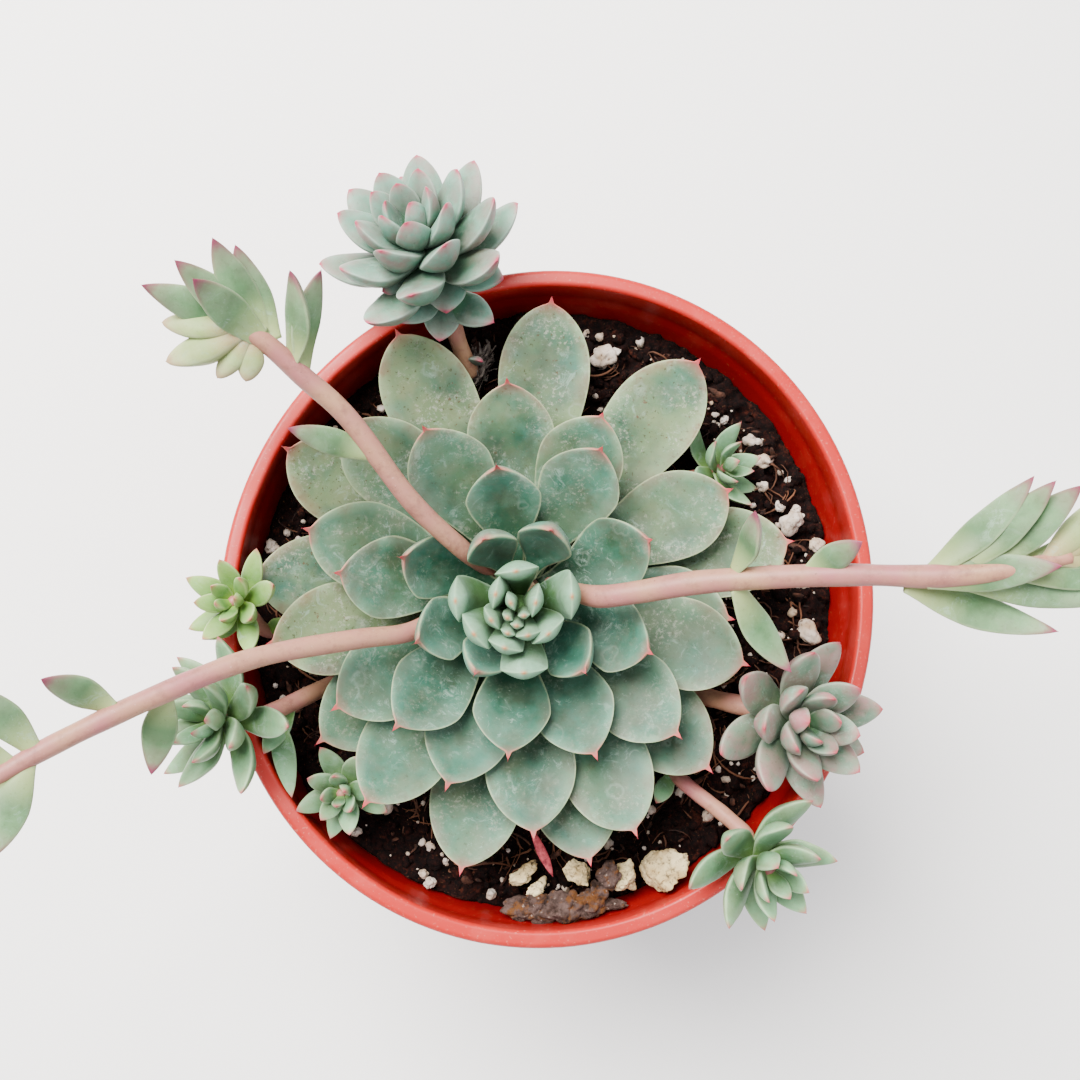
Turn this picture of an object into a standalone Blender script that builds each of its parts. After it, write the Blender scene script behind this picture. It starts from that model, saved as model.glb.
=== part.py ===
"""A potted rosette succulent with three flower stalks and seven side rosettes.

Lengths in the constants are millimetres; to_metres() turns them into scene units.
The pot's foot stands on z = 0 and its axis is the z axis. +y is the back of the
plant, where the longest leaves and the largest side rosette lean out.
"""

import bmesh
import bpy
import numpy as np

for old in list(bpy.data.objects):
    bpy.data.objects.remove(old, do_unlink=True)

MM = 0.001
GOLDEN_ANGLE = np.radians(137.508)
GAP = 0.35

# Pot: thin moulded plastic, slightly out of round like any soft nursery pot.
POT_HEIGHT = 105.0
RIM_RADIUS = 64.0
LIP_WIDTH = 3.2
COLLAR_DEPTH = 8.0
FOOT_RADIUS = 43.0
POT_SEGMENTS = 44
POT_LONG_WAY = 1.031
POT_SHORT_WAY = 0.986
POT_TURN = np.radians(70.0)
DRAIN_HOLES = 6
DRAIN_RADIUS = 4.0
DRAIN_CIRCLE = 26.0

# Soil: its surface lies about a finger's width under the rim.
SOIL_BOTTOM = 5.6
SOIL_TOP = 92.5
SOIL_MOUND = 2.6

# The plant and the stones round it sit this far off the pot's axis.
PLANT_SHIFT = (-1.3, -2.0, 0.0)

# The short stem of the main rosette, and how far it leans per millimetre of height.
STEM_FOOT = np.array([-4.0, 5.0, 96.0])
LEAN = np.array([-0.093, -0.238])
LEAF_START = 4.45
HEART_TOP = 129.0
LEAF_DROP = 22.0
LONGEST_REACH = 60.0
TOP_LEAF_SEAT = 118.0
SEAT_DROP = 19.5
FIRST_PLACE = 13

# Leaves of the heart from the inside out: bearing in degrees from +x, how far out the
# middle of the blunt end stands, and half the leaf's width.
HEART_LEAVES = (
    (200, 1.3, 1.1), (357, 1.7, 1.1), (282, 1.9, 1.2), (107, 2.3, 1.7), (250, 3.4, 1.4), (192, 4.2, 2.4),
    (304, 4.3, 2.4), (31, 4.4, 3.0), (132, 5.0, 3.0), (254, 6.1, 3.2), (331, 6.9, 3.6), (88, 7.7, 4.0),
    (206, 8.0, 3.9), (279, 10.6, 4.2), (17, 10.7, 4.4), (168, 10.8, 4.1),
)

# Main leaves from the inside out: bearing in degrees from +x, and reach from the stem.
# The third number lifts or drops a leaf's end where two neighbours would meet.
LEAVES = (
    (237, 13.3, -0.3), (114, 14.4, 0.3), (319, 16.8, 0.0), (66, 16.3, 0.0), (198, 18.9, 0.3),
    (156, 23.0, -0.3), (342, 26.0, 0.0), (267, 26.8, 0.4), (98, 26.6, 0.0), (27, 28.0, -0.3),
    (298, 31.0, -0.4), (225, 31.0, 0.5), (170, 33.7, -0.3), (62, 33.7, 0.6), (249, 36.0, -1.4),
    (321, 38.5, 0.4), (210, 38.6, -0.2), (118, 37.5, 0.4), (66, 39.5, -0.4), (274, 42.7, 0.8),
    (161, 41.7, 0.4), (93, 42.5, -0.5), (345, 44.5, 1.0), (355, 41.0, -4.4), (233, 46.2, 1.6),
    (216, 46.2, -3.2), (190, 46.8, 0.8), (28, 46.0, 0.4), (297, 48.0, 2.0), (318, 48.8, -2.6),
    (134, 47.0, 1.0), (285, 51.6, -2.2), (176, 50.6, -1.4), (258, 52.5, -1.8), (148, 53.5, -2.2),
    (12, 54.0, 0.2), (115, 57.0, 0.6), (53, 58.8, 0.6), (84, 59.2, 0.2),
)


def to_metres(points):
    return np.asarray(points, dtype=float) * MM


def material(name, red, green, blue, roughness):
    made = bpy.data.materials.new(name)
    made.use_nodes = True
    shader = made.node_tree.nodes["Principled BSDF"]
    shader.inputs["Base Color"].default_value = (red, green, blue, 1.0)
    shader.inputs["Roughness"].default_value = roughness
    return made


def add_object(name, points, faces, look, edges=()):
    mesh = bpy.data.meshes.new(name)
    mesh.from_pydata([tuple(point) for point in to_metres(points)], edges, faces)
    mesh.materials.append(look)
    made = bpy.data.objects.new(name, mesh)
    pieces.objects.link(made)
    return made


def move_to(collection, made):
    for home in list(made.users_collection):
        home.objects.unlink(made)
    collection.objects.link(made)


def hide_as_cutter(cutter):
    cutter.hide_render = True
    cutter.display_type = "WIRE"
    move_to(cutters, cutter)


def ring_faces(rings, around, tip):
    """Quads between closed rings of points, a fan at the first ring, and a tip or a flat last ring."""
    faces = [list(range(around))[::-1]]
    for ring in range(rings - 1):
        for i in range(around):
            j = (i + 1) % around
            low = ring * around
            faces.append([low + i, low + j, low + around + j, low + around + i])
    last = (rings - 1) * around
    if tip:
        for i in range(around):
            faces.append([last + i, last + (i + 1) % around, rings * around])
    else:
        faces.append([last + i for i in range(around)])
    return faces


def unit(vector):
    vector = np.asarray(vector, dtype=float)
    return vector / np.linalg.norm(vector)


def leaf_outline(t):
    """Half width along a main leaf: narrow seat, widest at seven tenths, rounded end."""
    rising = 0.22 + 0.78 * np.sin(np.pi / 2 * min(t / 0.7, 1.0)) ** 2.2
    closing = (1 - (max(t - 0.7, 0.0) / 0.3) ** 2.2) ** 0.75
    return rising * closing


def leaf_depth(t):
    """Thickness along a leaf: thin seat, fullest past the middle, thin at the end."""
    return 0.34 + 0.66 * np.sin(np.pi * min(t / 1.25, 1.0)) ** 1.2


# Across a leaf, going round its section: sideways share of the half width, share of depth.
SECTION = ((-1.0, 0.0), (-0.62, 0.78), (0.0, 1.0), (0.62, 0.78), (1.0, 0.0), (0.0, 0.0))


def lean(points):
    """The whole rosette leans: each level slides sideways in step with its height."""
    moved = np.array(points, dtype=float)
    rise = moved[:, 2] - STEM_FOOT[2]
    moved[:, 0] += STEM_FOOT[0] + LEAN[0] * rise
    moved[:, 1] += STEM_FOOT[1] + LEAN[1] * rise
    return moved


def main_leaf(order, bearing, reach, lift, grown=0.0):
    """A leaf lying on its own bowl around the stem, so that it clears the leaves under it.

    grown swells it evenly, for the room a neighbour must leave it.
    """
    place = (order + FIRST_PLACE) / (FIRST_PLACE + len(LEAVES) - 1)
    seat = TOP_LEAF_SEAT - SEAT_DROP * place ** 0.9
    tip = HEART_TOP - LEAF_DROP * (reach / LONGEST_REACH) ** 1.5 + lift
    half = 9.75 * (1 - np.exp(-reach / 21.0)) ** 1.1
    depth = 1.5 + 0.09 * 2 * half
    start = np.array([min(LEAF_START, 0.35 * reach + 1.0), seat])
    end = np.array([reach, tip])
    bend = start + (end - start) * np.array([0.6, 0.25]) + np.array([0.0, 0.6 * lift])
    points = []
    for t in (0.0, 0.28, 0.52, 0.72, 0.88, 0.96):
        middle = start * (1 - t) ** 2 + bend * 2 * t * (1 - t) + end * t ** 2
        along = unit((bend - start) * (1 - t) + (end - bend) * t)
        upward = np.array([-along[1], along[0]])
        wide = half * leaf_outline(t) + grown
        deep = depth * leaf_depth(t) + 2 * grown
        cup = 0.09 * half * leaf_outline(t) - grown
        for side, share in SECTION:
            sunk = cup * (1 - side ** 2) + share * deep
            radius, height = middle - upward * sunk
            angle = np.radians(bearing) + side * wide / max(middle[0], 3.0)
            points.append((radius * np.cos(angle), radius * np.sin(angle), height))
    reach += grown
    points.append((reach * np.cos(np.radians(bearing)), reach * np.sin(np.radians(bearing)), tip))
    return lean(points), ring_faces(6, len(SECTION), True)


def plump_leaf(base, tip, face, half, depth, arch):
    """A small fleshy leaf from base to tip; face is the way its upper side looks."""
    base = np.asarray(base, dtype=float)
    tip = np.asarray(tip, dtype=float)
    along = unit(tip - base)
    side_way = unit(np.cross(face, along))
    upward = np.cross(along, side_way)
    length = np.linalg.norm(tip - base)
    points = []
    for t, wide, deep in ((0.0, 0.45, 0.65), (0.45, 1.0, 1.0), (0.83, 0.72, 0.7)):
        middle = base + (tip - base) * t - upward * arch * length * 4 * t * (1 - t)
        for side, share in ((-1.0, 0.0), (0.0, -0.9), (1.0, 0.0), (0.0, 0.35)):
            points.append(middle + side_way * side * half * wide + upward * share * depth * deep)
    points.append(tip)
    return np.array(points), ring_faces(3, 4, True)


def limb(name, path, radii, look, sides=2):
    """A round stem swept along a path, its thickness changing from point to point."""
    curve = bpy.data.curves.new(name, "CURVE")
    curve.dimensions = "3D"
    curve.bevel_depth = MM
    curve.bevel_resolution = sides
    curve.use_fill_caps = True
    line = curve.splines.new("POLY")
    line.points.add(len(path) - 1)
    for point, place, radius in zip(line.points, to_metres(path), radii):
        point.co = (place[0], place[1], place[2], 1.0)
        point.radius = radius
    shape = bpy.data.objects.new(name, curve)
    pieces.objects.link(shape)
    bpy.context.view_layer.update()
    mesh = bpy.data.meshes.new_from_object(shape)
    bpy.data.objects.remove(shape, do_unlink=True)
    welded = bmesh.new()
    welded.from_mesh(mesh)
    bmesh.ops.remove_doubles(welded, verts=welded.verts, dist=0.00001)
    welded.to_mesh(mesh)
    welded.free()
    mesh.materials.clear()
    mesh.materials.append(look)
    made = bpy.data.objects.new(name, mesh)
    pieces.objects.link(made)
    return made


def give_way(body, room):
    """Cuts the space of a neighbour, already swollen by the clearance, out of a body."""
    cut = body.modifiers.new("Give way", "BOOLEAN")
    cut.operation = "DIFFERENCE"
    cut.solver = "EXACT"
    cut.object = room


def fuse(body, shells, look):
    """Grows a list of closed shells into a body, so that the two are one piece."""
    points = []
    faces = []
    for shell_points, shell_faces in shells:
        start = len(points)
        points.extend(shell_points)
        faces.extend([[start + i for i in face] for face in shell_faces])
    extra = add_object(body.name + "_shells", points, faces, look)
    hide_as_cutter(extra)
    union = body.modifiers.new("Grow leaves", "BOOLEAN")
    union.operation = "UNION"
    union.solver = "EXACT"
    union.use_self = True
    union.object = extra


pieces = bpy.data.collections.new("potted_succulent")
cutters = bpy.data.collections.new("cutters")
bpy.context.scene.collection.children.link(pieces)
bpy.context.scene.collection.children.link(cutters)

pot_look = material("pot_plastic", 0.80, 0.17, 0.15, 0.5)
soil_look = material("potting_soil", 0.03, 0.02, 0.015, 0.95)
leaf_look = material("leaf_skin", 0.32, 0.46, 0.36, 0.55)
heart_look = material("young_leaf_skin", 0.28, 0.48, 0.42, 0.5)
stem_look = material("old_stem", 0.30, 0.20, 0.14, 0.8)
stalk_look = material("stalk_skin", 0.62, 0.33, 0.30, 0.5)
offset_look = material("side_leaf_skin", 0.38, 0.52, 0.38, 0.5)
pumice_look = material("pumice", 0.62, 0.55, 0.45, 0.9)
bark_look = material("bark", 0.20, 0.15, 0.12, 0.9)
dry_look = material("dry_leaf", 0.45, 0.16, 0.14, 0.8)

# Pot wall as one profile turned about the axis: inside floor, lip, outside, foot.
lip_in = RIM_RADIUS - LIP_WIDTH
pot_profile = (
    (0.0, 2.0), (12.5, 2.0), (15.5, 5.0), (36.5, 5.0), (39.5, 2.0), (42.4, 2.0),
    (44.2, 5.0), (59.9, 96.0), (lip_in, 98.5), (lip_in, POT_HEIGHT - 0.5),
    (lip_in + 0.5, POT_HEIGHT), (RIM_RADIUS - 0.6, POT_HEIGHT), (RIM_RADIUS, POT_HEIGHT - 0.6),
    (RIM_RADIUS, POT_HEIGHT - COLLAR_DEPTH), (61.6, POT_HEIGHT - COLLAR_DEPTH),
    (45.8, 3.0), (FOOT_RADIUS, 0.0), (38.5, 0.0), (35.5, 3.0), (16.5, 3.0), (13.5, 0.0), (0.0, 0.0),
)
pot_points = [(x, 0.0, z) for x, z in pot_profile]
pot_edges = [(i, i + 1) for i in range(len(pot_profile) - 1)]
pot = add_object("pot", pot_points, [], pot_look, pot_edges)
turned = pot.modifiers.new("Turn", "SCREW")
turned.steps = POT_SEGMENTS
turned.render_steps = POT_SEGMENTS
turned.use_merge_vertices = True
turned.merge_threshold = 0.00001
turned.use_normal_calculate = True
for hole in range(DRAIN_HOLES):
    angle = 2 * np.pi * hole / DRAIN_HOLES
    place = (DRAIN_CIRCLE * np.cos(angle) * MM, DRAIN_CIRCLE * np.sin(angle) * MM, 4 * MM)
    bpy.ops.mesh.primitive_cylinder_add(
        vertices=12, radius=DRAIN_RADIUS * MM, depth=12 * MM, location=place
    )
    drill = bpy.context.object
    drill.name = f"drill_{hole}"
    hide_as_cutter(drill)
    cut = pot.modifiers.new("Drain hole", "BOOLEAN")
    cut.operation = "DIFFERENCE"
    cut.solver = "EXACT"
    cut.object = drill
pot.scale = (POT_LONG_WAY, POT_SHORT_WAY, 1.0)
pot.rotation_euler = (0.0, 0.0, POT_TURN)


def soil_height(radius, angle):
    """A low mound round the stem with a few hollows, level where it meets the wall."""
    waves = 0.7 * np.sin(3 * angle + 0.6) + 0.5 * np.sin(5 * angle + radius * 0.09)
    return SOIL_TOP + SOIL_MOUND * np.exp(-(radius / 26.0) ** 2) + waves * min(radius / 20.0, 1.0) * 0.8


# Soil: a plug that clears the pot wall all round, its top a little uneven.
SOIL_SIDES = 32
soil_points = []
for radius, height in ((43.4, SOIL_BOTTOM), (58.6, None), (52.0, None), (40.0, None), (26.0, None), (12.0, None)):
    for i in range(SOIL_SIDES):
        angle = 2 * np.pi * i / SOIL_SIDES
        level = soil_height(radius, angle) if height is None else height
        soil_points.append((radius * np.cos(angle), radius * np.sin(angle), level))
soil_points.append((0.0, 0.0, soil_height(0.0, 0.0)))
soil = add_object("soil", soil_points, ring_faces(6, SOIL_SIDES, True), soil_look)
soil.scale = (POT_LONG_WAY, POT_SHORT_WAY, 1.0)
soil.rotation_euler = (0.0, 0.0, POT_TURN)

# Stem under the rosette, leaning with it.
stem_levels = ((96.2, 4.0), (108.0, 3.9), (114.6, 3.2), (116.2, 1.6))
stem_points = []
for height, radius in stem_levels:
    for i in range(10):
        angle = 2 * np.pi * i / 10
        stem_points.append((radius * np.cos(angle), radius * np.sin(angle), height))
stem = add_object("main_stem", lean(stem_points), ring_faces(4, 10, False), stem_look)

# Heart: the innermost leaves, still packed tight, grown on one short core.
core_points = []
for height, radius in ((117.4, 1.5), (119.0, 2.2), (122.5, 1.6), (124.0, 0.8)):
    for i in range(8):
        angle = 2 * np.pi * i / 8
        core_points.append((radius * np.cos(angle), radius * np.sin(angle), height))
heart = add_object("heart", lean(core_points), ring_faces(4, 8, False), heart_look)
heart_shells = []
for order, (bearing, reach, half) in enumerate(HEART_LEAVES):
    swirl = np.radians(bearing)
    out = np.array([np.cos(swirl), np.sin(swirl), 0.0])
    foot = out * (0.4 + 0.11 * reach) + (0.0, 0.0, 121.4 - 0.34 * reach)
    top = out * reach + (0.0, 0.0, 129.6 - 0.016 * reach ** 2)
    ends = lean([foot, top])
    inward = np.array([0.0, 0.0, 0.4]) - out
    heart_shells.append(plump_leaf(ends[0], ends[1], inward, half, 1.0 + 0.42 * half, 0.12))
fuse(heart, heart_shells, heart_look)

# Main leaves, each its own piece, from the inside out.
for index, (bearing, reach, lift) in enumerate(LEAVES):
    points, faces = main_leaf(index, bearing, reach, lift)
    add_object(f"leaf_{index + 1:02d}", points, faces, leaf_look)

# Where two leaves would touch, the lower one is hollowed a little under the upper one.
HOLLOWED = (
    (15, 12), (17, 15), (20, 15), (19, 18), (22, 19), (24, 23), (28, 24), (26, 25), (25, 27), (27, 26),
    (30, 29), (32, 29), (32, 30), (33, 31), (34, 32), (35, 33), (37, 35), (38, 36), (38, 37), (39, 37),
    (39, 38),
)
for lower, upper in HOLLOWED:
    bearing, reach, lift = LEAVES[upper - 1]
    points, faces = main_leaf(upper - 1, bearing, reach, lift, 0.3)
    room = add_object(f"room_{lower}_{upper}", points, faces, leaf_look)
    hide_as_cutter(room)
    give_way(bpy.data.objects[f"leaf_{lower:02d}"], room)


def bract(base, tip, face, half, depth=2.0, arch=0.08):
    return plump_leaf(base, tip, face, half, depth, arch)


# Stalk at the back left: bare below, one scale half way, leaves and buds at its head.
BACK_PATH = (
    (-9.0, 6.0, 106.5), (-12.6, 7.6, 113.0), (-16.6, 10.0, 119.5), (-25.4, 17.6, 126.0),
    (-35.7, 30.4, 133.0), (-43.3, 36.8, 137.0), (-49.5, 41.8, 140.5), (-54.5, 43.6, 142.0),
)
BACK_RADII = (1.0, 1.5, 1.8, 1.8, 1.8, 1.8, 1.6, 1.2)
stalk_back = limb("stalk_back", BACK_PATH, BACK_RADII, stalk_look)
fuse(stalk_back, (
    bract((-31.0, 24.6, 130.0), (-45.4, 27.6, 138.0), (0.2, -0.3, 1.0), 2.4),
    bract((-45.0, 38.6, 138.2), (-44.2, 51.0, 149.0), (-0.7, -0.5, 0.5), 3.2),
    bract((-43.2, 37.2, 137.5), (-39.6, 52.6, 145.0), (0.7, -0.4, 0.6), 3.0),
    bract((-49.0, 41.4, 140.4), (-58.6, 48.0, 153.0), (0.5, -0.5, 0.6), 3.1),
    bract((-50.0, 42.4, 140.6), (-68.0, 48.8, 147.0), (0.1, -0.5, 0.9), 3.2),
    bract((-49.4, 42.6, 141.0), (-62.2, 52.0, 150.0), (0.4, -0.4, 0.8), 3.0),
    bract((-48.6, 42.2, 140.6), (-56.6, 56.2, 149.0), (0.4, -0.2, 0.9), 3.1),
    bract((-47.6, 42.0, 140.2), (-53.6, 56.4, 145.5), (0.3, -0.1, 0.9), 3.0),
    bract((-53.0, 42.6, 141.5), (-65.5, 38.4, 139.0), (0.1, 0.3, 1.0), 2.9, 4.6, 0.0),
    bract((-53.4, 43.6, 142.0), (-66.0, 44.6, 140.5), (0.0, 0.2, 1.0), 2.6, 4.2, 0.0),
    bract((-52.0, 42.0, 141.0), (-57.2, 36.0, 138.0), (0.1, 0.3, 1.0), 2.2, 3.8, 0.0),
    bract((-50.8, 41.6, 140.6), (-52.4, 35.4, 138.4), (0.0, 0.2, 1.0), 2.3, 3.8, 0.0),
), offset_look)

# Stalk to the right: three scales along it and a long leafy head.
RIGHT_PATH = (
    (0.4, 4.8, 108.5), (3.6, 2.6, 116.5), (8.4, 1.0, 121.5), (15.4, 1.6, 125.0), (25.5, 3.0, 129.0),
    (40.0, 3.7, 133.5), (51.4, 3.7, 137.0), (64.0, 3.2, 140.5), (74.0, 4.0, 143.5), (84.0, 6.0, 146.0),
)
RIGHT_RADII = (1.0, 1.6, 2.0, 2.1, 2.1, 2.0, 2.0, 2.0, 1.7, 1.2)
stalk_right = limb("stalk_right", RIGHT_PATH, RIGHT_RADII, stalk_look)
fuse(stalk_right, (
    bract((31.0, 4.8, 131.5), (32.8, 14.0, 140.0), (-0.8, 0.1, 0.5), 3.0),
    bract((42.4, 3.6, 135.0), (50.4, 8.8, 142.0), (-0.4, -0.4, 0.8), 2.6),
    bract((31.6, 2.0, 130.6), (42.0, -12.6, 126.5), (0.3, 0.1, 1.0), 3.3),
    bract((62.0, 3.6, 140.0), (76.6, 18.8, 150.0), (-0.4, 0.4, 0.9), 3.0),
    bract((66.0, 3.8, 141.2), (79.0, 17.6, 152.5), (-0.4, 0.2, 0.9), 3.0),
    bract((70.0, 4.2, 142.4), (83.0, 16.8, 153.0), (-0.3, 0.1, 0.9), 3.2),
    bract((61.6, 2.4, 140.6), (81.0, 4.2, 149.0), (-0.2, -0.2, 1.0), 3.2),
    bract((59.0, 2.0, 138.0), (84.0, -6.0, 140.5), (0.0, 0.2, 1.0), 3.3),
    bract((67.0, 2.4, 141.0), (92.0, -1.2, 147.0), (-0.1, -0.2, 1.0), 3.2),
    bract((74.0, 4.0, 143.5), (96.0, 3.4, 151.0), (-0.2, 0.0, 1.0), 3.2),
    bract((76.0, 4.6, 144.0), (97.0, 11.0, 151.0), (-0.2, 0.2, 1.0), 3.3),
    bract((82.0, 6.0, 145.5), (94.0, 14.0, 147.0), (0.0, 0.3, 1.0), 2.8, 4.4, 0.0),
    bract((82.0, 5.6, 145.5), (96.0, 7.5, 145.0), (0.0, 0.2, 1.0), 2.8, 4.4, 0.0),
    bract((80.0, 5.0, 145.0), (91.0, 16.5, 149.0), (-0.2, 0.1, 1.0), 2.6, 4.0, 0.0),
), offset_look)

# Stalk to the left: the lowest of the three, its head finished like the others.
LEFT_PATH = (
    (-11.4, 2.8, 106.4), (-16.2, 0.2, 110.0), (-21.6, -3.2, 114.2), (-26.6, -5.6, 118.0),
    (-35.7, -7.0, 122.4), (-52.0, -10.5, 128.0), (-67.2, -17.0, 132.5), (-81.0, -24.2, 136.5),
    (-90.0, -29.8, 139.5), (-96.0, -33.6, 141.5),
)
LEFT_RADII = (1.0, 1.5, 1.7, 1.8, 1.8, 1.8, 1.8, 1.7, 1.5, 1.2)
stalk_left = limb("stalk_left", LEFT_PATH, LEFT_RADII, stalk_look)
fuse(stalk_left, (
    bract((-65.2, -16.8, 131.6), (-68.6, -30.0, 125.5), (0.3, 0.3, 1.0), 3.0),
    bract((-73.0, -18.8, 134.4), (-82.0, -14.2, 143.0), (0.3, -0.6, 0.8), 2.9),
    bract((-84.0, -25.6, 137.6), (-92.0, -15.4, 147.0), (0.4, -0.5, 0.8), 3.0),
    bract((-85.0, -27.2, 138.0), (-88.0, -41.8, 145.0), (0.3, 0.5, 0.8), 3.0),
    bract((-87.0, -28.0, 138.6), (-101.0, -20.8, 149.0), (0.5, -0.3, 0.8), 3.1),
    bract((-88.0, -28.8, 139.0), (-99.0, -41.3, 147.0), (0.4, 0.3, 0.9), 3.1),
    bract((-90.0, -29.8, 139.6), (-107.0, -29.8, 150.0), (0.5, 0.1, 0.9), 3.1),
    bract((-94.0, -32.4, 141.0), (-106.0, -37.3, 141.5), (0.1, 0.0, 1.0), 2.8, 4.4, 0.0),
    bract((-94.0, -32.2, 141.0), (-104.0, -42.8, 141.0), (0.1, 0.2, 1.0), 2.5, 4.0, 0.0),
    bract((-93.0, -31.4, 140.6), (-107.5, -31.3, 144.0), (0.1, 0.1, 1.0), 2.4, 4.0, 0.0),
), offset_look)


# The stalks come up between the leaves, which curve out of their way.
for leaves, path, radii in (
    ((2, 6, 9, 18), BACK_PATH, BACK_RADII), ((7, 10), RIGHT_PATH, RIGHT_RADII),
    ((5, 13, 17), LEFT_PATH, LEFT_RADII),
):
    for number in leaves:
        room = limb(f"stalk_room_{number}", path[:6], [radius + GAP for radius in radii[:6]], leaf_look)
        hide_as_cutter(room)
        give_way(bpy.data.objects[f"leaf_{number:02d}"], room)


def side_rosette(name, path, radii, crown, axis, count, longest, half, depth, turn, extra=()):
    """A small rosette on its own stem: leaves open from the axis outwards by the golden angle.

    extra are single leaves lower on the stem.
    """
    axis = unit(axis)
    crown = np.asarray(crown, dtype=float)
    across = unit(np.cross(axis, (0.2, 1.0, 0.1)))
    other = np.cross(axis, across)
    shells = []
    for i in range(count):
        share = (i + 0.6) / count
        spin = turn + i * GOLDEN_ANGLE
        out = across * np.cos(spin) + other * np.sin(spin)
        opening = np.radians(12 + 68 * share ** 0.85)
        length = longest * (0.42 + 0.58 * min(share * 1.35, 1.0))
        direction = axis * np.cos(opening) + out * np.sin(opening)
        base = crown - axis * (longest * (0.12 + 0.42 * share)) + out * 0.3
        face = axis * np.sin(opening) - out * np.cos(opening)
        width = half * (0.55 + 0.45 * min(share * 1.6, 1.0))
        shells.append(plump_leaf(base, base + direction * length, face, width, depth * width / half, 0.09))
    stem_path = list(path) + [tuple(crown - axis * longest * 0.56), tuple(crown - axis * longest * 0.1)]
    made = limb(name, stem_path, tuple(radii) + (radii[-1], radii[-1] * 0.7), stalk_look)
    fuse(made, shells + list(extra), offset_look)
    return made


side_rosette(
    "offset_back", ((-14.6, 48.0, 97.0), (-17.4, 53.4, 103.5), (-18.8, 58.0, 108.8), (-20.2, 61.5, 111.5)),
    (1.7, 1.7, 1.8, 1.9), (-26.4, 70.2, 121.6), (-0.33, 0.42, 0.85), 26, 20.0, 4.7, 3.8, 0.4,
    (bract((-15.0, 49.5, 98.0), (-12.6, 48.6, 104.5), (0.0, -1.0, 0.4), 1.6, 1.2),
     bract((-20.4, 62.2, 110.6), (-28.6, 53.8, 112.4), (0.2, 0.3, 1.0), 3.6, 3.2),
     bract((-20.0, 60.6, 109.8), (-20.8, 50.6, 111.6), (0.0, 0.3, 1.0), 3.7, 3.2),
     bract((-19.4, 60.4, 110.2), (-10.4, 54.2, 112.2), (-0.2, 0.3, 1.0), 3.6, 3.2),
     bract((-20.2, 64.5, 114.2), (-19.4, 54.8, 116.0), (0.0, 0.3, 1.0), 4.2, 3.6),
     bract((-19.2, 65.0, 114.4), (-8.8, 61.0, 118.0), (-0.3, 0.2, 1.0), 4.0, 3.5),
     bract((-21.4, 65.0, 114.4), (-31.5, 58.4, 117.0), (0.3, 0.2, 1.0), 4.0, 3.5)),
)
side_rosette(
    "offset_right", ((27.0, -15.4, 96.8), (32.6, -17.2, 101.0), (38.4, -18.8, 106.0)),
    (1.7, 1.8, 1.9), (47.4, -22.0, 119.0), (0.29, -0.14, 0.95), 20, 17.0, 3.9, 3.6, 1.3,
)
side_rosette(
    "offset_front_right", ((24.4, -30.8, 96.6), (29.0, -35.0, 101.0), (33.7, -39.0, 105.6), (37.0, -42.4, 109.0)),
    (1.4, 1.5, 1.5, 1.6), (41.0, -49.2, 115.4), (0.34, -0.46, 0.82), 16, 15.0, 3.2, 2.6, 2.2,
    (bract((25.6, -31.8, 98.0), (21.4, -37.2, 102.6), (0.2, 0.4, 1.0), 1.9, 1.4),),
)
side_rosette(
    "offset_left", ((-47.6, -3.4, 96.6), (-53.4, -4.4, 103.0)),
    (1.2, 1.3), (-58.1, 0.4, 116.4), (-0.27, 0.05, 0.96), 14, 10.5, 2.2, 2.2, 0.9,
    (bract((-53.4, -4.8, 103.0), (-48.9, -2.6, 106.6), (0.3, -0.2, 1.0), 1.6, 1.6),
     bract((-56.6, -2.4, 109.0), (-63.4, -6.4, 111.4), (0.1, -0.2, 1.0), 1.8, 1.8)),
)
side_rosette(
    "offset_front_left", ((-41.0, -14.2, 96.8), (-48.0, -18.0, 102.6), (-54.4, -21.0, 108.2)),
    (1.7, 1.7, 1.7), (-62.0, -21.4, 117.0), (-0.52, -0.06, 0.85), 18, 16.0, 2.9, 2.8, 2.6,
    (bract((-48.2, -18.0, 102.6), (-52.4, -27.4, 108.6), (0.2, 0.3, 1.0), 2.3, 2.0),
     bract((-50.8, -20.0, 105.0), (-47.2, -35.4, 107.4), (0.1, 0.1, 1.0), 2.2, 1.8)),
)
side_rosette(
    "offset_front", ((-28.6, -30.0, 95.6), (-33.0, -32.2, 98.6)),
    (1.1, 1.2), (-38.4, -35.0, 108.0), (-0.14, -0.18, 0.97), 14, 9.4, 2.2, 2.0, 1.7,
)
side_rosette(
    "offset_right_back", ((24.0, 25.0, 94.6), (26.0, 26.6, 96.0)),
    (1.2, 1.2), (37.6, 29.0, 101.8), (0.62, 0.10, 0.77), 11, 11.6, 2.5, 1.6, 0.2,
)


def stone(name, place, size, seed, look, turn=0.0):
    """A rough lump lying on the soil: a blank pushed in and out by a few waves, then stretched."""
    bpy.ops.mesh.primitive_ico_sphere_add(subdivisions=2, radius=1.0)
    made = bpy.context.object
    made.name = name
    move_to(pieces, made)
    lumps = np.array([vertex.co for vertex in made.data.vertices])
    x, y, z = lumps.T
    rough = 1 + 0.10 * np.sin(3.1 * x + seed) + 0.09 * np.sin(4.3 * y + 2 * seed) + 0.07 * np.sin(5 * z + seed)
    lumps = lumps * rough[:, None] * np.array(size) / 2
    turned_x = lumps[:, 0] * np.cos(turn) - lumps[:, 1] * np.sin(turn)
    turned_y = lumps[:, 0] * np.sin(turn) + lumps[:, 1] * np.cos(turn)
    lumps = to_metres(np.stack([turned_x, turned_y, lumps[:, 2]], axis=1) + np.array(place))
    made.data.vertices.foreach_set("co", lumps.ravel())
    made.data.materials.append(look)
    return made


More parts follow.
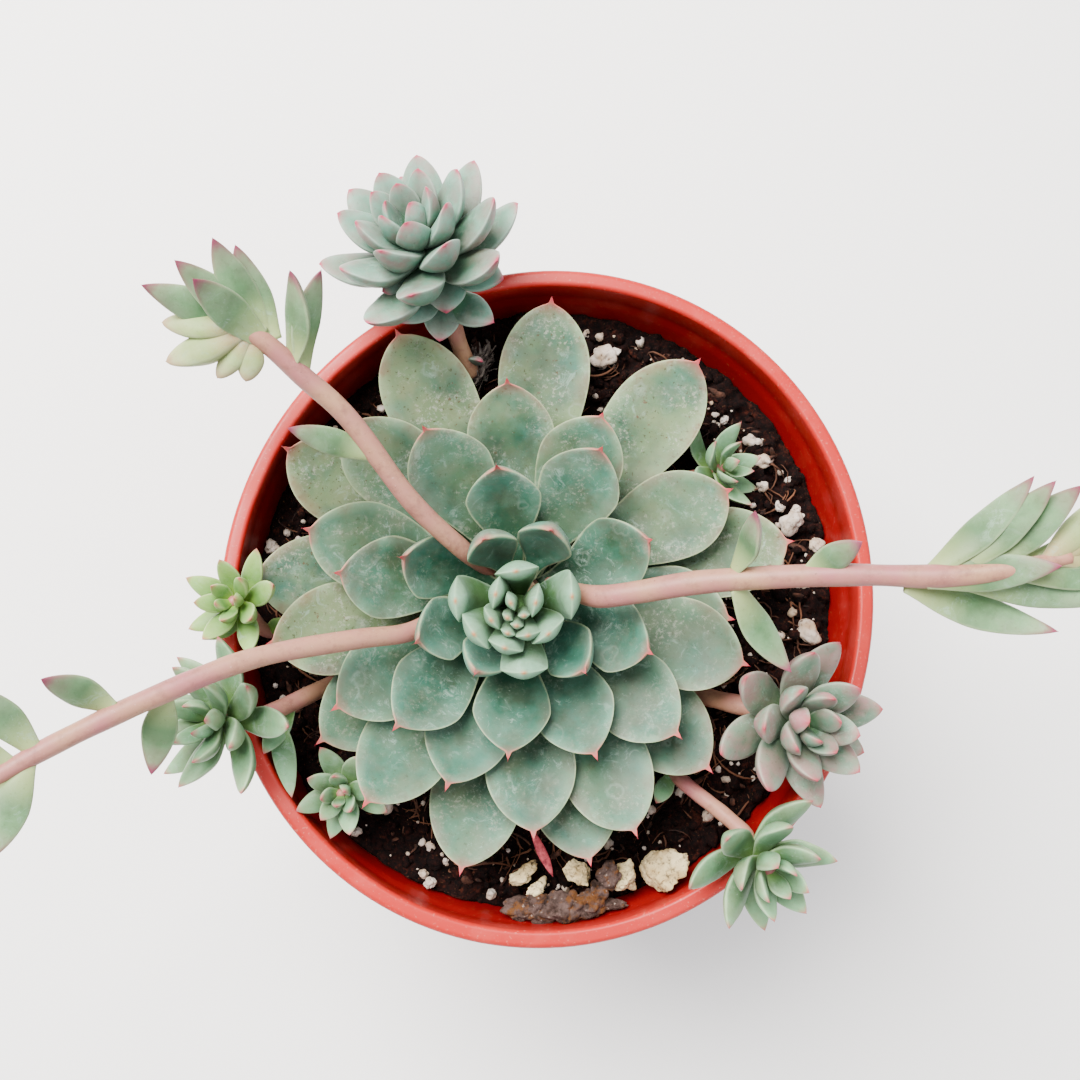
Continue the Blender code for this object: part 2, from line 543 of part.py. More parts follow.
stone("pumice_large", (23.5, -50.1, 98.4), (9.0, 7.9, 7.0), 0.4, pumice_look)
stone("pumice_middle", (14.8, -51.4, 97.4), (7.4, 5.4, 5.4), 1.9, pumice_look)
stone("pumice_round", (6.6, -50.8, 97.2), (5.2, 5.8, 5.0), 4.4, pumice_look)
stone("pumice_small", (-3.0, -51.6, 97.2), (6.4, 5.8, 5.0), 3.2, pumice_look)
stone("bark_chip", (4.2, -56.9, 98.2), (22.0, 4.3, 5.0), 2.7, bark_look, 0.05)

dry_points, dry_faces = plump_leaf((-2.2, -42.6, 98.6), (1.9, -51.4, 98.4), (0.3, 0.1, 1.0), 1.0, 0.7, 0.0)
add_object("dry_scale", dry_points, dry_faces, dry_look)

for made in list(pieces.objects) + list(cutters.objects):
    if made not in (pot, soil) and not made.name.startswith("drill"):
        made.location = to_metres(PLANT_SHIFT)

# Everything here is round or soft, so only true corners stay sharp.
for made in pieces.objects:
    made.data.shade_smooth()
    made.data.set_sharp_from_angle(angle=np.radians(50))
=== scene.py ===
"""Potted rosette succulent: the fine surfaces, materials, floor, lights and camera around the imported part.

Sizes are in millimetres unless a name says otherwise, and MM turns them into scene units.
"""

import bpy
import numpy as np
from mathutils import Matrix, Vector


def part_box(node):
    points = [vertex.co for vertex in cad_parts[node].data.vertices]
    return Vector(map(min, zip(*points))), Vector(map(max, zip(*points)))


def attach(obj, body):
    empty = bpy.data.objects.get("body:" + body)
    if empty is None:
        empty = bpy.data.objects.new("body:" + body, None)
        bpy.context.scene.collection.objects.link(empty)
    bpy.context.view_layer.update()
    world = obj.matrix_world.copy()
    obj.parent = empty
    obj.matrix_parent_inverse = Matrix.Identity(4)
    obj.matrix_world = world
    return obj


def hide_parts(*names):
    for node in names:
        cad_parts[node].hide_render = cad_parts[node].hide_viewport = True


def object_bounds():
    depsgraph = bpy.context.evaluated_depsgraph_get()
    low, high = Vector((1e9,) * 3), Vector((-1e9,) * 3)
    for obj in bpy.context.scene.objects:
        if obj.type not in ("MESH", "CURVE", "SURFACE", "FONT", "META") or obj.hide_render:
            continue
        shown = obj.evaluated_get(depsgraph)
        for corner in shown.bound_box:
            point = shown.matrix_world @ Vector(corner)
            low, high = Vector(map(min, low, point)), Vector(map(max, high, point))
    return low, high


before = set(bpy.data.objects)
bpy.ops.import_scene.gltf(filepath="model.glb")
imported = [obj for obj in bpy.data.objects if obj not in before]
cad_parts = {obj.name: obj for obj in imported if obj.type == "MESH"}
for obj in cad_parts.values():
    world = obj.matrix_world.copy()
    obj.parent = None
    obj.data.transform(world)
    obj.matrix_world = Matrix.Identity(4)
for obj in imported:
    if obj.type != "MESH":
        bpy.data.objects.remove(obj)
cad_low, cad_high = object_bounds()

# ---------------------------------------------------------------------------
# The pot: a soft red nursery pot, pressed slightly out of round, with a flat
# lip, a collar, a tapering wall and drain holes in the raised part of its floor.

MM = 0.001
POT_LONG_WAY = 1.031
POT_SHORT_WAY = 0.986
POT_TURN = np.radians(70.0)
POT_FLOOR = 2.0
DRAIN_HOLES = 6
DRAIN_RING = 26.0
DRAIN_RADIUS = 4.0
# Radius and height along the pot's wall, from the middle of its floor up inside and down outside.
POT_PROFILE = np.array([
    (0.0, POT_FLOOR), (12.5, POT_FLOOR), (15.5, 5.0), (36.5, 5.0), (39.5, POT_FLOOR), (42.4, POT_FLOOR),
    (44.2, 5.0), (59.9, 96.0), (60.7, 98.5), (60.8, 104.4), (61.3, 105.0), (63.3, 105.0), (64.0, 104.4),
    (64.0, 97.0), (61.7, 97.0), (45.8, 3.0), (43.0, 0.0), (38.5, 0.0), (35.5, 3.0), (16.5, 3.0),
    (13.5, 0.0), (0.0, 0.0),
])


def out_of_round(points):
    """Stretches points along the pot's long way and squeezes them across it."""
    cos, sin = np.cos(POT_TURN), np.sin(POT_TURN)
    along = (points[..., 0] * cos + points[..., 1] * sin) * POT_LONG_WAY
    across = (points[..., 1] * cos - points[..., 0] * sin) * POT_SHORT_WAY
    moved = np.array(points, dtype=float)
    moved[..., 0] = along * cos - across * sin
    moved[..., 1] = along * sin + across * cos
    return moved


def round_corners(profile, radius, steps):
    """Replaces each corner of a profile by a short curve that starts and ends within radius of it."""
    corner = profile[1:-1, None]
    back, on = profile[:-2, None] - corner, profile[2:, None] - corner
    back_length, on_length = (np.linalg.norm(way, axis=2, keepdims=True) for way in (back, on))
    near = np.minimum(radius, 0.45 * np.minimum(back_length, on_length))
    start, end = corner + back / back_length * near, corner + on / on_length * near
    t = np.linspace(0, 1, steps)[:, None]
    curves = start * (1 - t) ** 2 + corner * 2 * t * (1 - t) + end * t ** 2
    return np.concatenate([profile[:1], curves.reshape(-1, 2), profile[-1:]])


def mesh_object(name, points, quads, triangles, material):
    """A smooth mesh object from points in millimetres and arrays of quads and triangles."""
    mesh = bpy.data.meshes.new(name)
    faces = np.asarray(quads).tolist() + np.asarray(triangles).tolist()
    mesh.from_pydata((np.asarray(points) * MM).tolist(), [], faces)
    mesh.materials.append(material)
    mesh.shade_smooth()
    made = bpy.data.objects.new(name, mesh)
    bpy.context.scene.collection.objects.link(made)
    return made


def tube_faces(rings, around, start=0):
    """Quads of a grid of closed rings, and fans of triangles to one pole point at each end.

    The points are the rings one after another, then the pole before the first ring and the pole
    after the last.
    """
    ring, i = np.meshgrid(np.arange(rings - 1), np.arange(around), indexing="ij")
    j = (i + 1) % around
    low = ring * around
    quads = np.stack([low + i, low + j, low + around + j, low + around + i], axis=-1).reshape(-1, 4)
    i = np.arange(around)
    j = (i + 1) % around
    first = np.full(around, rings * around)
    last = np.full(around, rings * around + 1)
    top = (rings - 1) * around
    fans = [np.stack([j, i, first], axis=-1), np.stack([top + i, top + j, last], axis=-1)]
    return quads + start, np.concatenate(fans) + start


def linear(code):
    """A colour code such as "c07a70" as linear red, green, blue and an alpha of one."""
    parts = np.array([int(code[i:i + 2], 16) for i in (0, 2, 4)]) / 255
    light = np.where(parts <= 0.04045, parts / 12.92, ((parts + 0.055) / 1.055) ** 2.4)
    return (*light.tolist(), 1.0)


def new_material(name, roughness, specular):
    """A material with its shader, whose roughness and specular level are the same all over."""
    made = bpy.data.materials.new(name)
    made.use_nodes = True
    shader = made.node_tree.nodes["Principled BSDF"]
    shader.inputs["Roughness"].default_value = roughness
    shader.inputs["Specular IOR Level"].default_value = specular
    return made, shader


def add(material, kind, inputs, **settings):
    """Adds a node; each input, by name or number, is a value or another node's output to join to it."""
    made = material.node_tree.nodes.new(kind)
    for key, value in settings.items():
        setattr(made, key, value)
    for key, value in inputs.items():
        if isinstance(value, bpy.types.NodeSocket):
            material.node_tree.links.new(value, made.inputs[key])
        else:
            made.inputs[key].default_value = value
    return made


def mottling(material, size_mm, detail=3.0, roughness=0.55, distortion=0.0):
    """Soft mottling fixed to the object, its spots about size_mm across; the values run from 0 to 1."""
    place = add(material, "ShaderNodeTexCoord", {})
    return add(material, "ShaderNodeTexNoise", {
        "Vector": place.outputs["Object"], "Scale": 1000.0 / size_mm, "Detail": detail,
        "Roughness": roughness, "Distortion": distortion,
    }).outputs["Fac"]


def strength(material, *parts):
    """How strong a finish is at each point: the product of its parts.

    A part is (pattern, low, high, first, last). It is first where the pattern is low or less, last
    where it is high or more, and changes evenly in between; first is 0 and last is 1 if left out.
    The pattern is a node's output, or mottling given as (size_mm, detail, roughness, distortion).
    A part that isn't in brackets counts as it is.
    """
    product = 1.0
    for part in parts:
        if isinstance(part, tuple):
            pattern, low, high, first, last = part if len(part) == 5 else (*part, 0.0, 1.0)
            if isinstance(pattern, tuple):
                pattern = mottling(material, *pattern)
            part = add(material, "ShaderNodeMapRange", {
                "Value": pattern, "From Min": low, "From Max": high, "To Min": first, "To Max": last,
            }).outputs["Result"]
        product = add(material, "ShaderNodeMath", {0: part, 1: product}, operation="MULTIPLY").outputs[0]
    return product


def coat(material, under, over, *parts):
    """The colour under, painted with the colour over as strongly as the parts of its strength say."""
    under, over = (linear(color) if isinstance(color, str) else color for color in (under, over))
    share = strength(material, *parts)
    return add(material, "ShaderNodeMix", {0: share, 6: under, 7: over}, data_type="RGBA").outputs[2]


def dress(material, shader, color, relief=None, amount=0.0, depth_mm=0.0):
    """Joins the finished colour to the shader, and its relief as a bump of depth_mm."""
    material.node_tree.links.new(color, shader.inputs["Base Color"])
    if relief is not None:
        bump = add(material, "ShaderNodeBump", {
            "Height": relief, "Strength": amount, "Distance": depth_mm * MM,
        })
        material.node_tree.links.new(bump.outputs["Normal"], shader.inputs["Normal"])


# Soft matt polypropylene, moulded in red: the wall painted deep red as painted shade, the lip painted a
# brighter red as painted light, and rubbed paler and dusted, most of all along the lip.
pot_plastic, pot_shader = new_material("red_polypropylene", 0.42, 0.35)
pot_height = add(pot_plastic, "ShaderNodeSeparateXYZ", {
    "Vector": add(pot_plastic, "ShaderNodeTexCoord", {}).outputs["Object"],
}).outputs["Z"]
lip_low, lip_high = 98.5 * MM, 104.8 * MM
rubbed = strength(pot_plastic, ((9.0, 5.0, 0.65), 0.50, 0.72))
pot_color = coat(pot_plastic, "780305", "600204", ((30.0, 3.0), 0.3, 0.7, 0.0, 0.5))
# Painted light: the lip, picked out by its height, is painted a brighter red than the deep red wall, which
# stands for painted shade.
pot_color = coat(pot_plastic, pot_color, "a31d18", (pot_height, lip_low, lip_high))
pot_color = coat(pot_plastic, pot_color, "b8483c", rubbed, (pot_height, lip_low, lip_high, 0.10, 0.26))
pot_color = coat(
    pot_plastic, pot_color, "c08070", ((0.55, 2.0), 0.63, 0.70), (pot_height, lip_low, lip_high, 0.10, 0.28),
)
dress(pot_plastic, pot_shader, pot_color, mottling(pot_plastic, 1.2, 3.0), 0.25, 0.12)
pot_dulled = strength(pot_plastic, (rubbed, 0.0, 1.0, 0.38, 0.6))
pot_plastic.node_tree.links.new(pot_dulled, pot_shader.inputs["Roughness"])

pot_line = round_corners(POT_PROFILE, 0.8, 5)
pot_turns = np.linspace(0, 2 * np.pi, 160, endpoint=False)
pot_radius = pot_line[1:-1, 0][:, None]
pot_rings = np.stack([
    pot_radius * np.cos(pot_turns), pot_radius * np.sin(pot_turns),
    np.repeat(pot_line[1:-1, 1][:, None], len(pot_turns), axis=1),
], axis=-1)
pot_points = np.concatenate([pot_rings.reshape(-1, 3), [[0.0, 0.0, POT_FLOOR], [0.0, 0.0, 0.0]]])
pot_quads, pot_fans = tube_faces(len(pot_rings), len(pot_turns))
pot = mesh_object("pot", out_of_round(pot_points), pot_quads[:, ::-1], pot_fans[:, ::-1], pot_plastic)
for drain_turn in np.arange(DRAIN_HOLES) * 2 * np.pi / DRAIN_HOLES:
    drain_x, drain_y = DRAIN_RING * np.cos(drain_turn), DRAIN_RING * np.sin(drain_turn)
    drain_place = Vector((drain_x, drain_y, DRAIN_RADIUS)) * MM
    bpy.ops.mesh.primitive_cylinder_add(
        vertices=32, radius=DRAIN_RADIUS * MM, depth=3 * DRAIN_RADIUS * MM, location=drain_place,
    )
    drill = bpy.context.object
    cut = pot.modifiers.new("Drain hole", "BOOLEAN")
    cut.operation = "DIFFERENCE"
    cut.object = drill
    bpy.context.view_layer.objects.active = pot
    bpy.ops.object.modifier_apply(modifier=cut.name)
    bpy.data.objects.remove(drill, do_unlink=True)
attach(pot, "root")
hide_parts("pot")

# ---------------------------------------------------------------------------
# The potting mix: a dark plug of peat and bark fines that clears the wall all
# round, with an uneven top, loose crumbs, fibres and grains of perlite on it.

SOIL_TOP = 92.5
SOIL_MOUND = 2.6
SOIL_RADIUS = 58.9
SOIL_FOOT = 5.6
SOIL_FOOT_RADIUS = 43.6


def waves(points, size, count, seed):
    """A smooth random field between about -1 and 1: a sum of flat waves about size long.

    Each wave has its own heading, length and phase, and all are added and divided by the square
    root of their number.
    """
    dice = np.random.default_rng(seed)
    headings = dice.normal(size=(count, points.shape[-1]))
    lengths = size * dice.uniform(0.7, 1.6, count)
    headings *= (2 * np.pi / lengths / np.linalg.norm(headings, axis=1))[:, None]
    return np.sin(points @ headings.T + dice.uniform(0, 2 * np.pi, count)).sum(axis=-1) / np.sqrt(count)


def soil_level(x, y):
    """Height of the soil: a low mound, a few hollows, and lumps and crumbs of three sizes."""
    radius = np.hypot(x, y)
    angle = np.arctan2(y, x) - POT_TURN
    mound = SOIL_MOUND * np.exp(-(radius / 26.0) ** 2)
    hollows = 0.7 * np.sin(3 * angle + 0.6) + 0.5 * np.sin(5 * angle + radius * 0.09)
    flat = np.stack([x, y], axis=-1)
    lumps = 0.8 * waves(flat, 9.0, 24, 11) + 0.6 * waves(flat, 3.4, 30, 12)
    lumps += 0.45 * waves(flat, 1.3, 36, 13)
    return SOIL_TOP + mound + hollows * np.minimum(radius / 20.0, 1.0) * 0.8 + lumps


def layered_material(name, roughness, specular, ground, coats, relief=None):
    """A material of a ground colour under coats, each a colour and the parts of its strength.

    The relief is the mottling that raises it, how much of it counts, and its depth in millimetres.
    """
    made, shader = new_material(name, roughness, specular)
    color = ground
    for over, *parts in coats:
        color = coat(made, color, over, *parts)
    if relief is None:
        dress(made, shader, color)
    else:
        pattern, amount, depth_mm = relief
        dress(made, shader, color, mottling(made, *pattern), amount, depth_mm)
    return made


# Damp peat: nearly black with brown crumbs, dull, its grain about a millimetre.
peat = layered_material("damp_peat_mix", 0.92, 0.12, "070202", (
    ("200906", ((1.1, 6.0, 0.7), 0.44, 0.66)),
    ("38160d", ((2.6, 5.0, 0.75), 0.56, 0.66)),
    ("523623", ((0.5, 2.0), 0.66, 0.74)),
    ("050202", ((7.0, 3.0), 0.4, 0.7, 0.0, 0.4)),
), ((1.1, 6.0, 0.7), 1.0, 0.8))

soil_turns = np.linspace(0, 2 * np.pi, 520, endpoint=False)
top_rings = np.linspace(0.6, SOIL_RADIUS, 118)
side_rings = np.linspace(SOIL_RADIUS, SOIL_FOOT_RADIUS, 12)[1:]
soil_radii = np.concatenate([top_rings, side_rings, [30.0, 15.0]])
ring_x = soil_radii[:, None] * np.cos(soil_turns)
ring_y = soil_radii[:, None] * np.sin(soil_turns)
ring_z = soil_level(ring_x, ring_y)
side_share = np.linspace(0, 1, len(side_rings) + 1)[1:, None]
side_start, side_end = len(top_rings), len(top_rings) + len(side_rings)
ring_z[side_start:side_end] = ring_z[side_start - 1] * (1 - side_share) + SOIL_FOOT * side_share
ring_z[side_end:] = SOIL_FOOT
soil_points = np.concatenate([
    np.stack([ring_x, ring_y, ring_z], axis=-1).reshape(-1, 3),
    [[0.0, 0.0, float(soil_level(np.zeros(1), np.zeros(1))[0])], [0.0, 0.0, SOIL_FOOT]],
])
soil_quads, soil_fans = tube_faces(len(soil_radii), len(soil_turns))
potting_mix = mesh_object(
    "potting_mix", out_of_round(soil_points), soil_quads[:, ::-1], soil_fans[:, ::-1], peat,
)
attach(potting_mix, "root")
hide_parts("soil")


def ball(subdivisions):
    """Points and triangles of a unit ball of nearly equal triangles."""
    bpy.ops.mesh.primitive_ico_sphere_add(subdivisions=subdivisions, radius=1.0)
    blank = bpy.context.object
    points = np.empty(3 * len(blank.data.vertices))
    blank.data.vertices.foreach_get("co", points)
    triangles = np.empty(3 * len(blank.data.polygons), dtype=np.int32)
    blank.data.loops.foreach_get("vertex_index", triangles)
    bpy.data.objects.remove(blank, do_unlink=True)
    return points.reshape(-1, 3), triangles.reshape(-1, 3)


def copies_of(triangles, points, copies):
    """The triangles of several copies of one set of points, which follow one another."""
    return (triangles[None] + len(points) * np.arange(copies)[:, None, None]).reshape(-1, 3)


def crumbs(name, places, sizes, seed, roughness, material, subdivisions=2, stretch=(1.0, 1.0, 1.0)):
    """One object of many rough lumps: each is a ball pushed in and out by waves, stretched and turned."""
    dice = np.random.default_rng(seed)
    shape, triangles = ball(subdivisions)
    points = []
    for place, size in zip(places, sizes):
        shift = dice.uniform(-50, 50, 3)
        dents = waves(shape + shift, 1.6, 9, seed) + 0.4 * waves(shape + shift, 0.6, 14, seed + 1)
        rough = 1 + roughness * dents
        turn = np.linalg.qr(dice.normal(size=(3, 3)))[0]
        turn *= np.sign(np.linalg.det(turn))
        lump = shape * rough[:, None] * size / 2 * dice.uniform(0.65, 1.0, 3) * stretch
        points.append(lump @ turn + place)
    return mesh_object(name, np.concatenate(points), [], copies_of(triangles, shape, len(places)), material)


def scatter(count, reach, seed, lift=0.0):
    """Places on the soil, evenly spread over a disc, at the height of its surface plus lift."""
    dice = np.random.default_rng(seed)
    radius = reach * np.sqrt(dice.random(count))
    angle = dice.uniform(0, 2 * np.pi, count)
    x, y = radius * np.cos(angle), radius * np.sin(angle)
    return out_of_round(np.stack([x, y, soil_level(x, y) + lift], axis=-1))


crumb_sizes = 0.9 + 2.8 * np.random.default_rng(21).random(2300) ** 2.2
soil_crumbs = crumbs("soil_crumbs", scatter(len(crumb_sizes), 57.4, 22, 0.3), crumb_sizes, 23, 0.30, peat)
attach(soil_crumbs, "root")

# Bark fines: flat brown splinters, the coarse part of the mix.
fines = layered_material("bark_fines", 0.85, 0.3, "140a07", (
    ("4a2b1e", ((3.0, 4.0, 0.7), 0.38, 0.64)),
), ((0.8, 5.0, 0.7), 0.9, 0.4))
fine_sizes = 1.8 + 4.0 * np.random.default_rng(24).random(520) ** 2.0
fine_places = scatter(len(fine_sizes), 55.6, 25, 0.3)
bark_fines = crumbs("bark_fines", fine_places, fine_sizes, 26, 0.22, fines, stretch=(1.0, 0.42, 0.22))
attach(bark_fines, "root")


def smooth_path(points, steps):
    """Points along a smooth curve through the given ones (Catmull-Rom), steps to each stretch."""
    points = np.asarray(points, dtype=float)
    padded = np.concatenate([[2 * points[0] - points[1]], points, [2 * points[-1] - points[-2]]])
    t = np.linspace(0, 1, steps, endpoint=False)[:, None]
    stretches = []
    for a, b, c, d in zip(padded[:-3], padded[1:-2], padded[2:-1], padded[3:]):
        stretches.append(0.5 * (
            2 * b + (c - a) * t + (2 * a - 5 * b + 4 * c - d) * t ** 2 + (3 * b - a - 3 * c + d) * t ** 3
        ))
    return np.concatenate(stretches + [points[-1:]])


def tube(path, radii, around, start=0):
    """Points and faces of a round tube along a path, with a rounded cap at each end."""
    along = np.gradient(path, axis=0)
    along /= np.linalg.norm(along, axis=1)[:, None]
    side = np.cross(along, (0.02, 0.03, 1.0))
    side /= np.linalg.norm(side, axis=1)[:, None]
    up = np.cross(side, along)
    turn = np.linspace(0, 2 * np.pi, around, endpoint=False)[None, :, None]
    radii = np.asarray(radii, dtype=float)
    outwards = side[:, None] * np.cos(turn) + up[:, None] * np.sin(turn)
    rings = path[:, None] + radii[:, None, None] * outwards
    ends = [path[0] - along[0] * radii[0] * 0.5, path[-1] + along[-1] * radii[-1] * 0.5]
    quads, triangles = tube_faces(len(path), around, start)
    return np.concatenate([rings.reshape(-1, 3), ends]), quads[:, ::-1], triangles[:, ::-1]


def threads(name, paths, radius, around, material):
    """One object of many thin round threads, each thinning towards both ends."""
    tubes = []
    start = 0
    for path, thick in zip(paths, radius):
        ends = np.sin(np.linspace(0.35, np.pi - 0.35, len(path)))
        tubes.append(tube(path, thick * ends, around, start))
        start += len(tubes[-1][0])
    points, quads, triangles = (np.concatenate(arrays) for arrays in zip(*tubes))
    return mesh_object(name, points, quads, triangles, material)


# Coir and root fibres, straw brown to dark brown, lying bent over the crumbs.
fibre = layered_material("coir_fibre", 0.8, 0.3, "1f0f0a", (
    ("5e3a26", ((6.0, 2.0), 0.35, 0.65)),
))

fibre_dice = np.random.default_rng(31)
fibre_paths = []
for middle in scatter(620, 55.0, 32):
    length = fibre_dice.uniform(3.0, 13.0)
    heading, curl = fibre_dice.uniform(0, 2 * np.pi), fibre_dice.normal(0, 0.9)
    s = np.linspace(-0.5, 0.5, 9)
    turn = heading + curl * s * 2
    step = np.stack([np.cos(turn), np.sin(turn)], axis=-1) * length / 8
    flat = middle[:2] + np.cumsum(step, axis=0) - step.sum(axis=0) / 2
    flat *= np.minimum(1, 56.5 / np.hypot(flat[:, 0], flat[:, 1]))[:, None]
    height = soil_level(flat[:, 0], flat[:, 1]) + 0.25 + fibre_dice.uniform(0.2, 1.3) * (0.25 - s ** 2) * 4
    fibre_paths.append(np.column_stack([flat, height]))
fibre_radii = fibre_dice.uniform(0.09, 0.26, len(fibre_paths))
soil_fibres = threads("soil_fibres", fibre_paths, fibre_radii, 5, fibre)
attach(soil_fibres, "root")

# Perlite and pumice grit: chalky off-white, pitted, some grains stained cream by the mix.
perlite = layered_material("perlite_grit", 0.85, 0.3, "bab0a8", (
    ("9b856d", ((3.0, 3.0), 0.35, 0.7)),
    ("554131", ((0.8, 4.0, 0.7), 0.56, 0.70)),
), ((0.7, 4.0, 0.7), 0.9, 0.35))

speck_sizes = 0.5 + 1.9 * np.random.default_rng(41).random(620) ** 2.6
speck_places = scatter(len(speck_sizes), 57.0, 42, 0.65)
perlite_specks = crumbs("perlite_specks", speck_places, speck_sizes, 43, 0.22, perlite)
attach(perlite_specks, "root")

# The larger grains: place on the soil and size.
GRAINS = np.array([
    (11.2, 51.0, 4.8), (14.3, 52.2, 2.2), (8.1, 56.0, 2.2), (50.2, 16.6, 5.8), (51.6, 19.6, 2.4),
    (42.7, 33.4, 3.8), (44.7, 29.4, 3.6), (41.5, 28.0, 2.6), (38.9, 29.6, 2.6), (53.1, -6.0, 5.2),
    (54.4, -10.8, 4.4), (48.0, 19.8, 2.4), (-55.4, 10.6, 3.4), (-55.4, 7.2, 2.8), (-32.3, -40.0, 3.8),
    (-23.3, -55.0, 2.8), (-24.6, -53.4, 2.4), (-20.3, -51.0, 2.0), (31.7, -42.4, 3.0),
    (44.3, 24.0, 2.8), (55.3, 12.0, 3.0), (47.1, 12.6, 2.6), (26.6, -37.4, 3.2), (20.6, -41.0, 2.4),
    (47.6, 8.0, 3.0), (52.4, 3.4, 2.6), (36.6, 38.0, 2.2), (30.8, 43.6, 2.4), (-47.0, 24.4, 2.6),
    (-52.4, -20.0, 2.4), (-37.6, -45.0, 2.2), (-11.0, -57.4, 2.4), (38.6, 24.0, 2.8),
])
grain_x, grain_y = GRAINS[:, 0], GRAINS[:, 1]
grain_z = soil_level(grain_x, grain_y) + GRAINS[:, 2] * 0.32
perlite_grains = crumbs(
    "perlite_grains", np.column_stack([grain_x, grain_y, grain_z]), GRAINS[:, 2], 44, 0.24, perlite, 4,
)
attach(perlite_grains, "root")

# ---------------------------------------------------------------------------
# Stones on the soil: four lumps of pumice, rounded but pitted, and a chip of
# conifer bark with a splinter still on it.

# Pumice: foamed volcanic glass, matt and cream, stained brown, with fine dark spots painted as the shade in
# its pores.
pumice = layered_material("pumice_stone", 0.9, 0.3, "d8c89c", (
    ("a58c60", ((4.5, 4.0), 0.35, 0.68)),
    ("8c6a44", ((6.0, 3.0), 0.54, 0.70, 0.0, 0.45)),
    # Fine dark spots: painted shade in the pores.
    ("443c30", ((0.8, 5.0, 0.8), 0.53, 0.63, 0.0, 0.85)),
), ((1.0, 5.0, 0.7), 1.0, 0.5))


def box_mm(node):
    """Low and high corner of the box of a plain solid."""
    return (np.array(corner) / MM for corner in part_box(node))


def rough_stone(name, node, seed, relief, lobes=((0.0, 0.0, 0.0, 1.0, 1.0, 1.0),)):
    """A lump that fills the box of its plain solid: a blunt many-sided block, dented and pitted.

    The block is the ball pulled in to a dozen random planes, softly. A lobe is the part of the box
    that one block fills, as shares of its low and high corner.
    """
    low, high = box_mm(node)
    ball_points, triangles = ball(6 if len(lobes) == 1 else 5)
    blocks = []
    for index, lobe in enumerate(lobes):
        dice = np.random.default_rng(seed + index)
        planes = dice.normal(size=(13, 3))
        planes /= np.linalg.norm(planes, axis=1)[:, None] * dice.uniform(0.72, 1.0, 13)[:, None]
        pull = (np.clip(ball_points @ planes.T, 0, None) ** 9).sum(axis=1) ** (1 / 9)
        shape = ball_points / (pull + 0.05)[:, None]
        dents = 0.6 * waves(shape, 0.9, 16, seed + 1) + 0.3 * waves(shape, 0.35, 30, seed + 3)
        rough = 1 + relief * dents
        pits = np.clip(waves(shape, 0.30, 30, seed + 2) - 0.8, 0, 1)
        shape = shape * (rough - relief * 1.1 * pits)[:, None]
        shape = (shape - shape.min(axis=0)) / (shape.max(axis=0) - shape.min(axis=0))
        first, last = np.array(lobe[:3]), np.array(lobe[3:])
        blocks.append(low + (first + shape * (last - first)) * (high - low))
    faces = copies_of(triangles, ball_points, len(blocks))
    made = mesh_object(name, np.concatenate(blocks), [], faces, pumice)
    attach(made, "root")
    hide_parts(node)


rough_stone("pumice_lump_large", "pumice_large", 51, 0.16)
rough_stone("pumice_lump_middle", "pumice_middle", 54, 0.18)
rough_stone("pumice_lump_round", "pumice_round", 57, 0.17)
rough_stone("pumice_lump_small", "pumice_small", 61, 0.20, (
    (-0.05, 0.25, 0.0, 0.80, 1.10, 1.0), (0.45, -0.10, 0.0, 1.10, 0.55, 0.8),
))

# Conifer bark, weathered grey brown outside and rusty where it has flaked.
bark = layered_material("conifer_bark", 0.88, 0.2, "24160f", (
    ("5c4a45", ((2.4, 5.0, 0.7), 0.38, 0.62)),
    ("5e3a1c", ((3.0, 4.0, 0.7), 0.50, 0.60)),
    ("958379", ((1.0, 4.0, 0.7), 0.62, 0.70)),
), ((1.3, 6.0, 0.75), 1.0, 0.9))

# Five knobs and plates of the chip from left to right, two for the flake that stands up at its
# right end, and the splinter: the middle of each as shares of the chip's box, then its size.
bark_low, bark_high = box_mm("bark_chip")
BARK = np.array([
    (0.10, 0.40, 0.35, 5.6, 4.2, 3.4), (0.26, 0.45, 0.45, 6.2, 5.4, 4.2), (0.44, 0.42, 0.55, 6.4, 5.0, 4.6),
    (0.60, 0.50, 0.50, 6.0, 5.2, 4.4), (0.73, 0.62, 0.60, 5.2, 4.6, 3.6), (0.80, 1.05, 0.80, 3.4, 4.0, 2.4),
    (0.90, 1.75, 0.95, 4.0, 4.8, 2.0), (0.90, 0.55, 0.50, 6.4, 2.2, 2.0),
])
knob_ball, knob_faces = ball(5)
knobs = []
for index, knob in enumerate(BARK):
    rough = 1 + 0.20 * waves(knob_ball, 1.0, 12, 63 + index) + 0.08 * waves(knob_ball, 0.45, 24, 83 + index)
    middle = bark_low + knob[:3] * (bark_high - bark_low)
    knobs.append(knob_ball * rough[:, None] * knob[3:] / 2 + middle)
bark_faces = copies_of(knob_faces, knob_ball, len(knobs))
bark_piece = mesh_object("bark_piece", np.concatenate(knobs), [], bark_faces, bark)
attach(bark_piece, "root")
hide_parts("bark_chip")

# ---------------------------------------------------------------------------
# The main rosette: a short woody stem, 39 leaves that each lie on a bowl of
# their own around it, and the heart of young leaves still packed tight. The
# whole rosette leans, so every level slides sideways in step with its height.

PLANT_SHIFT = np.array([-1.3, -2.0, 0.0])
STEM_FOOT = np.array([-4.0, 5.0, 96.0]) + PLANT_SHIFT
LEAN = np.array([-0.093, -0.238])


def lean(points):
    """Slides points sideways by LEAN for each millimetre that they lie above the stem's foot."""
    rise = points[..., 2:] - STEM_FOOT[2]
    return np.concatenate([points[..., :2] + STEM_FOOT[:2] + rise * LEAN, points[..., 2:]], axis=-1)


# Old stem: corky and brown, ringed by the scars of fallen leaves.
cork = layered_material("corky_stem", 0.85, 0.3, "4a3427", (
    ("9a8468", ((2.0, 5.0, 0.7), 0.38, 0.66)),
), ((1.2, 5.0, 0.7), 0.9, 0.5))

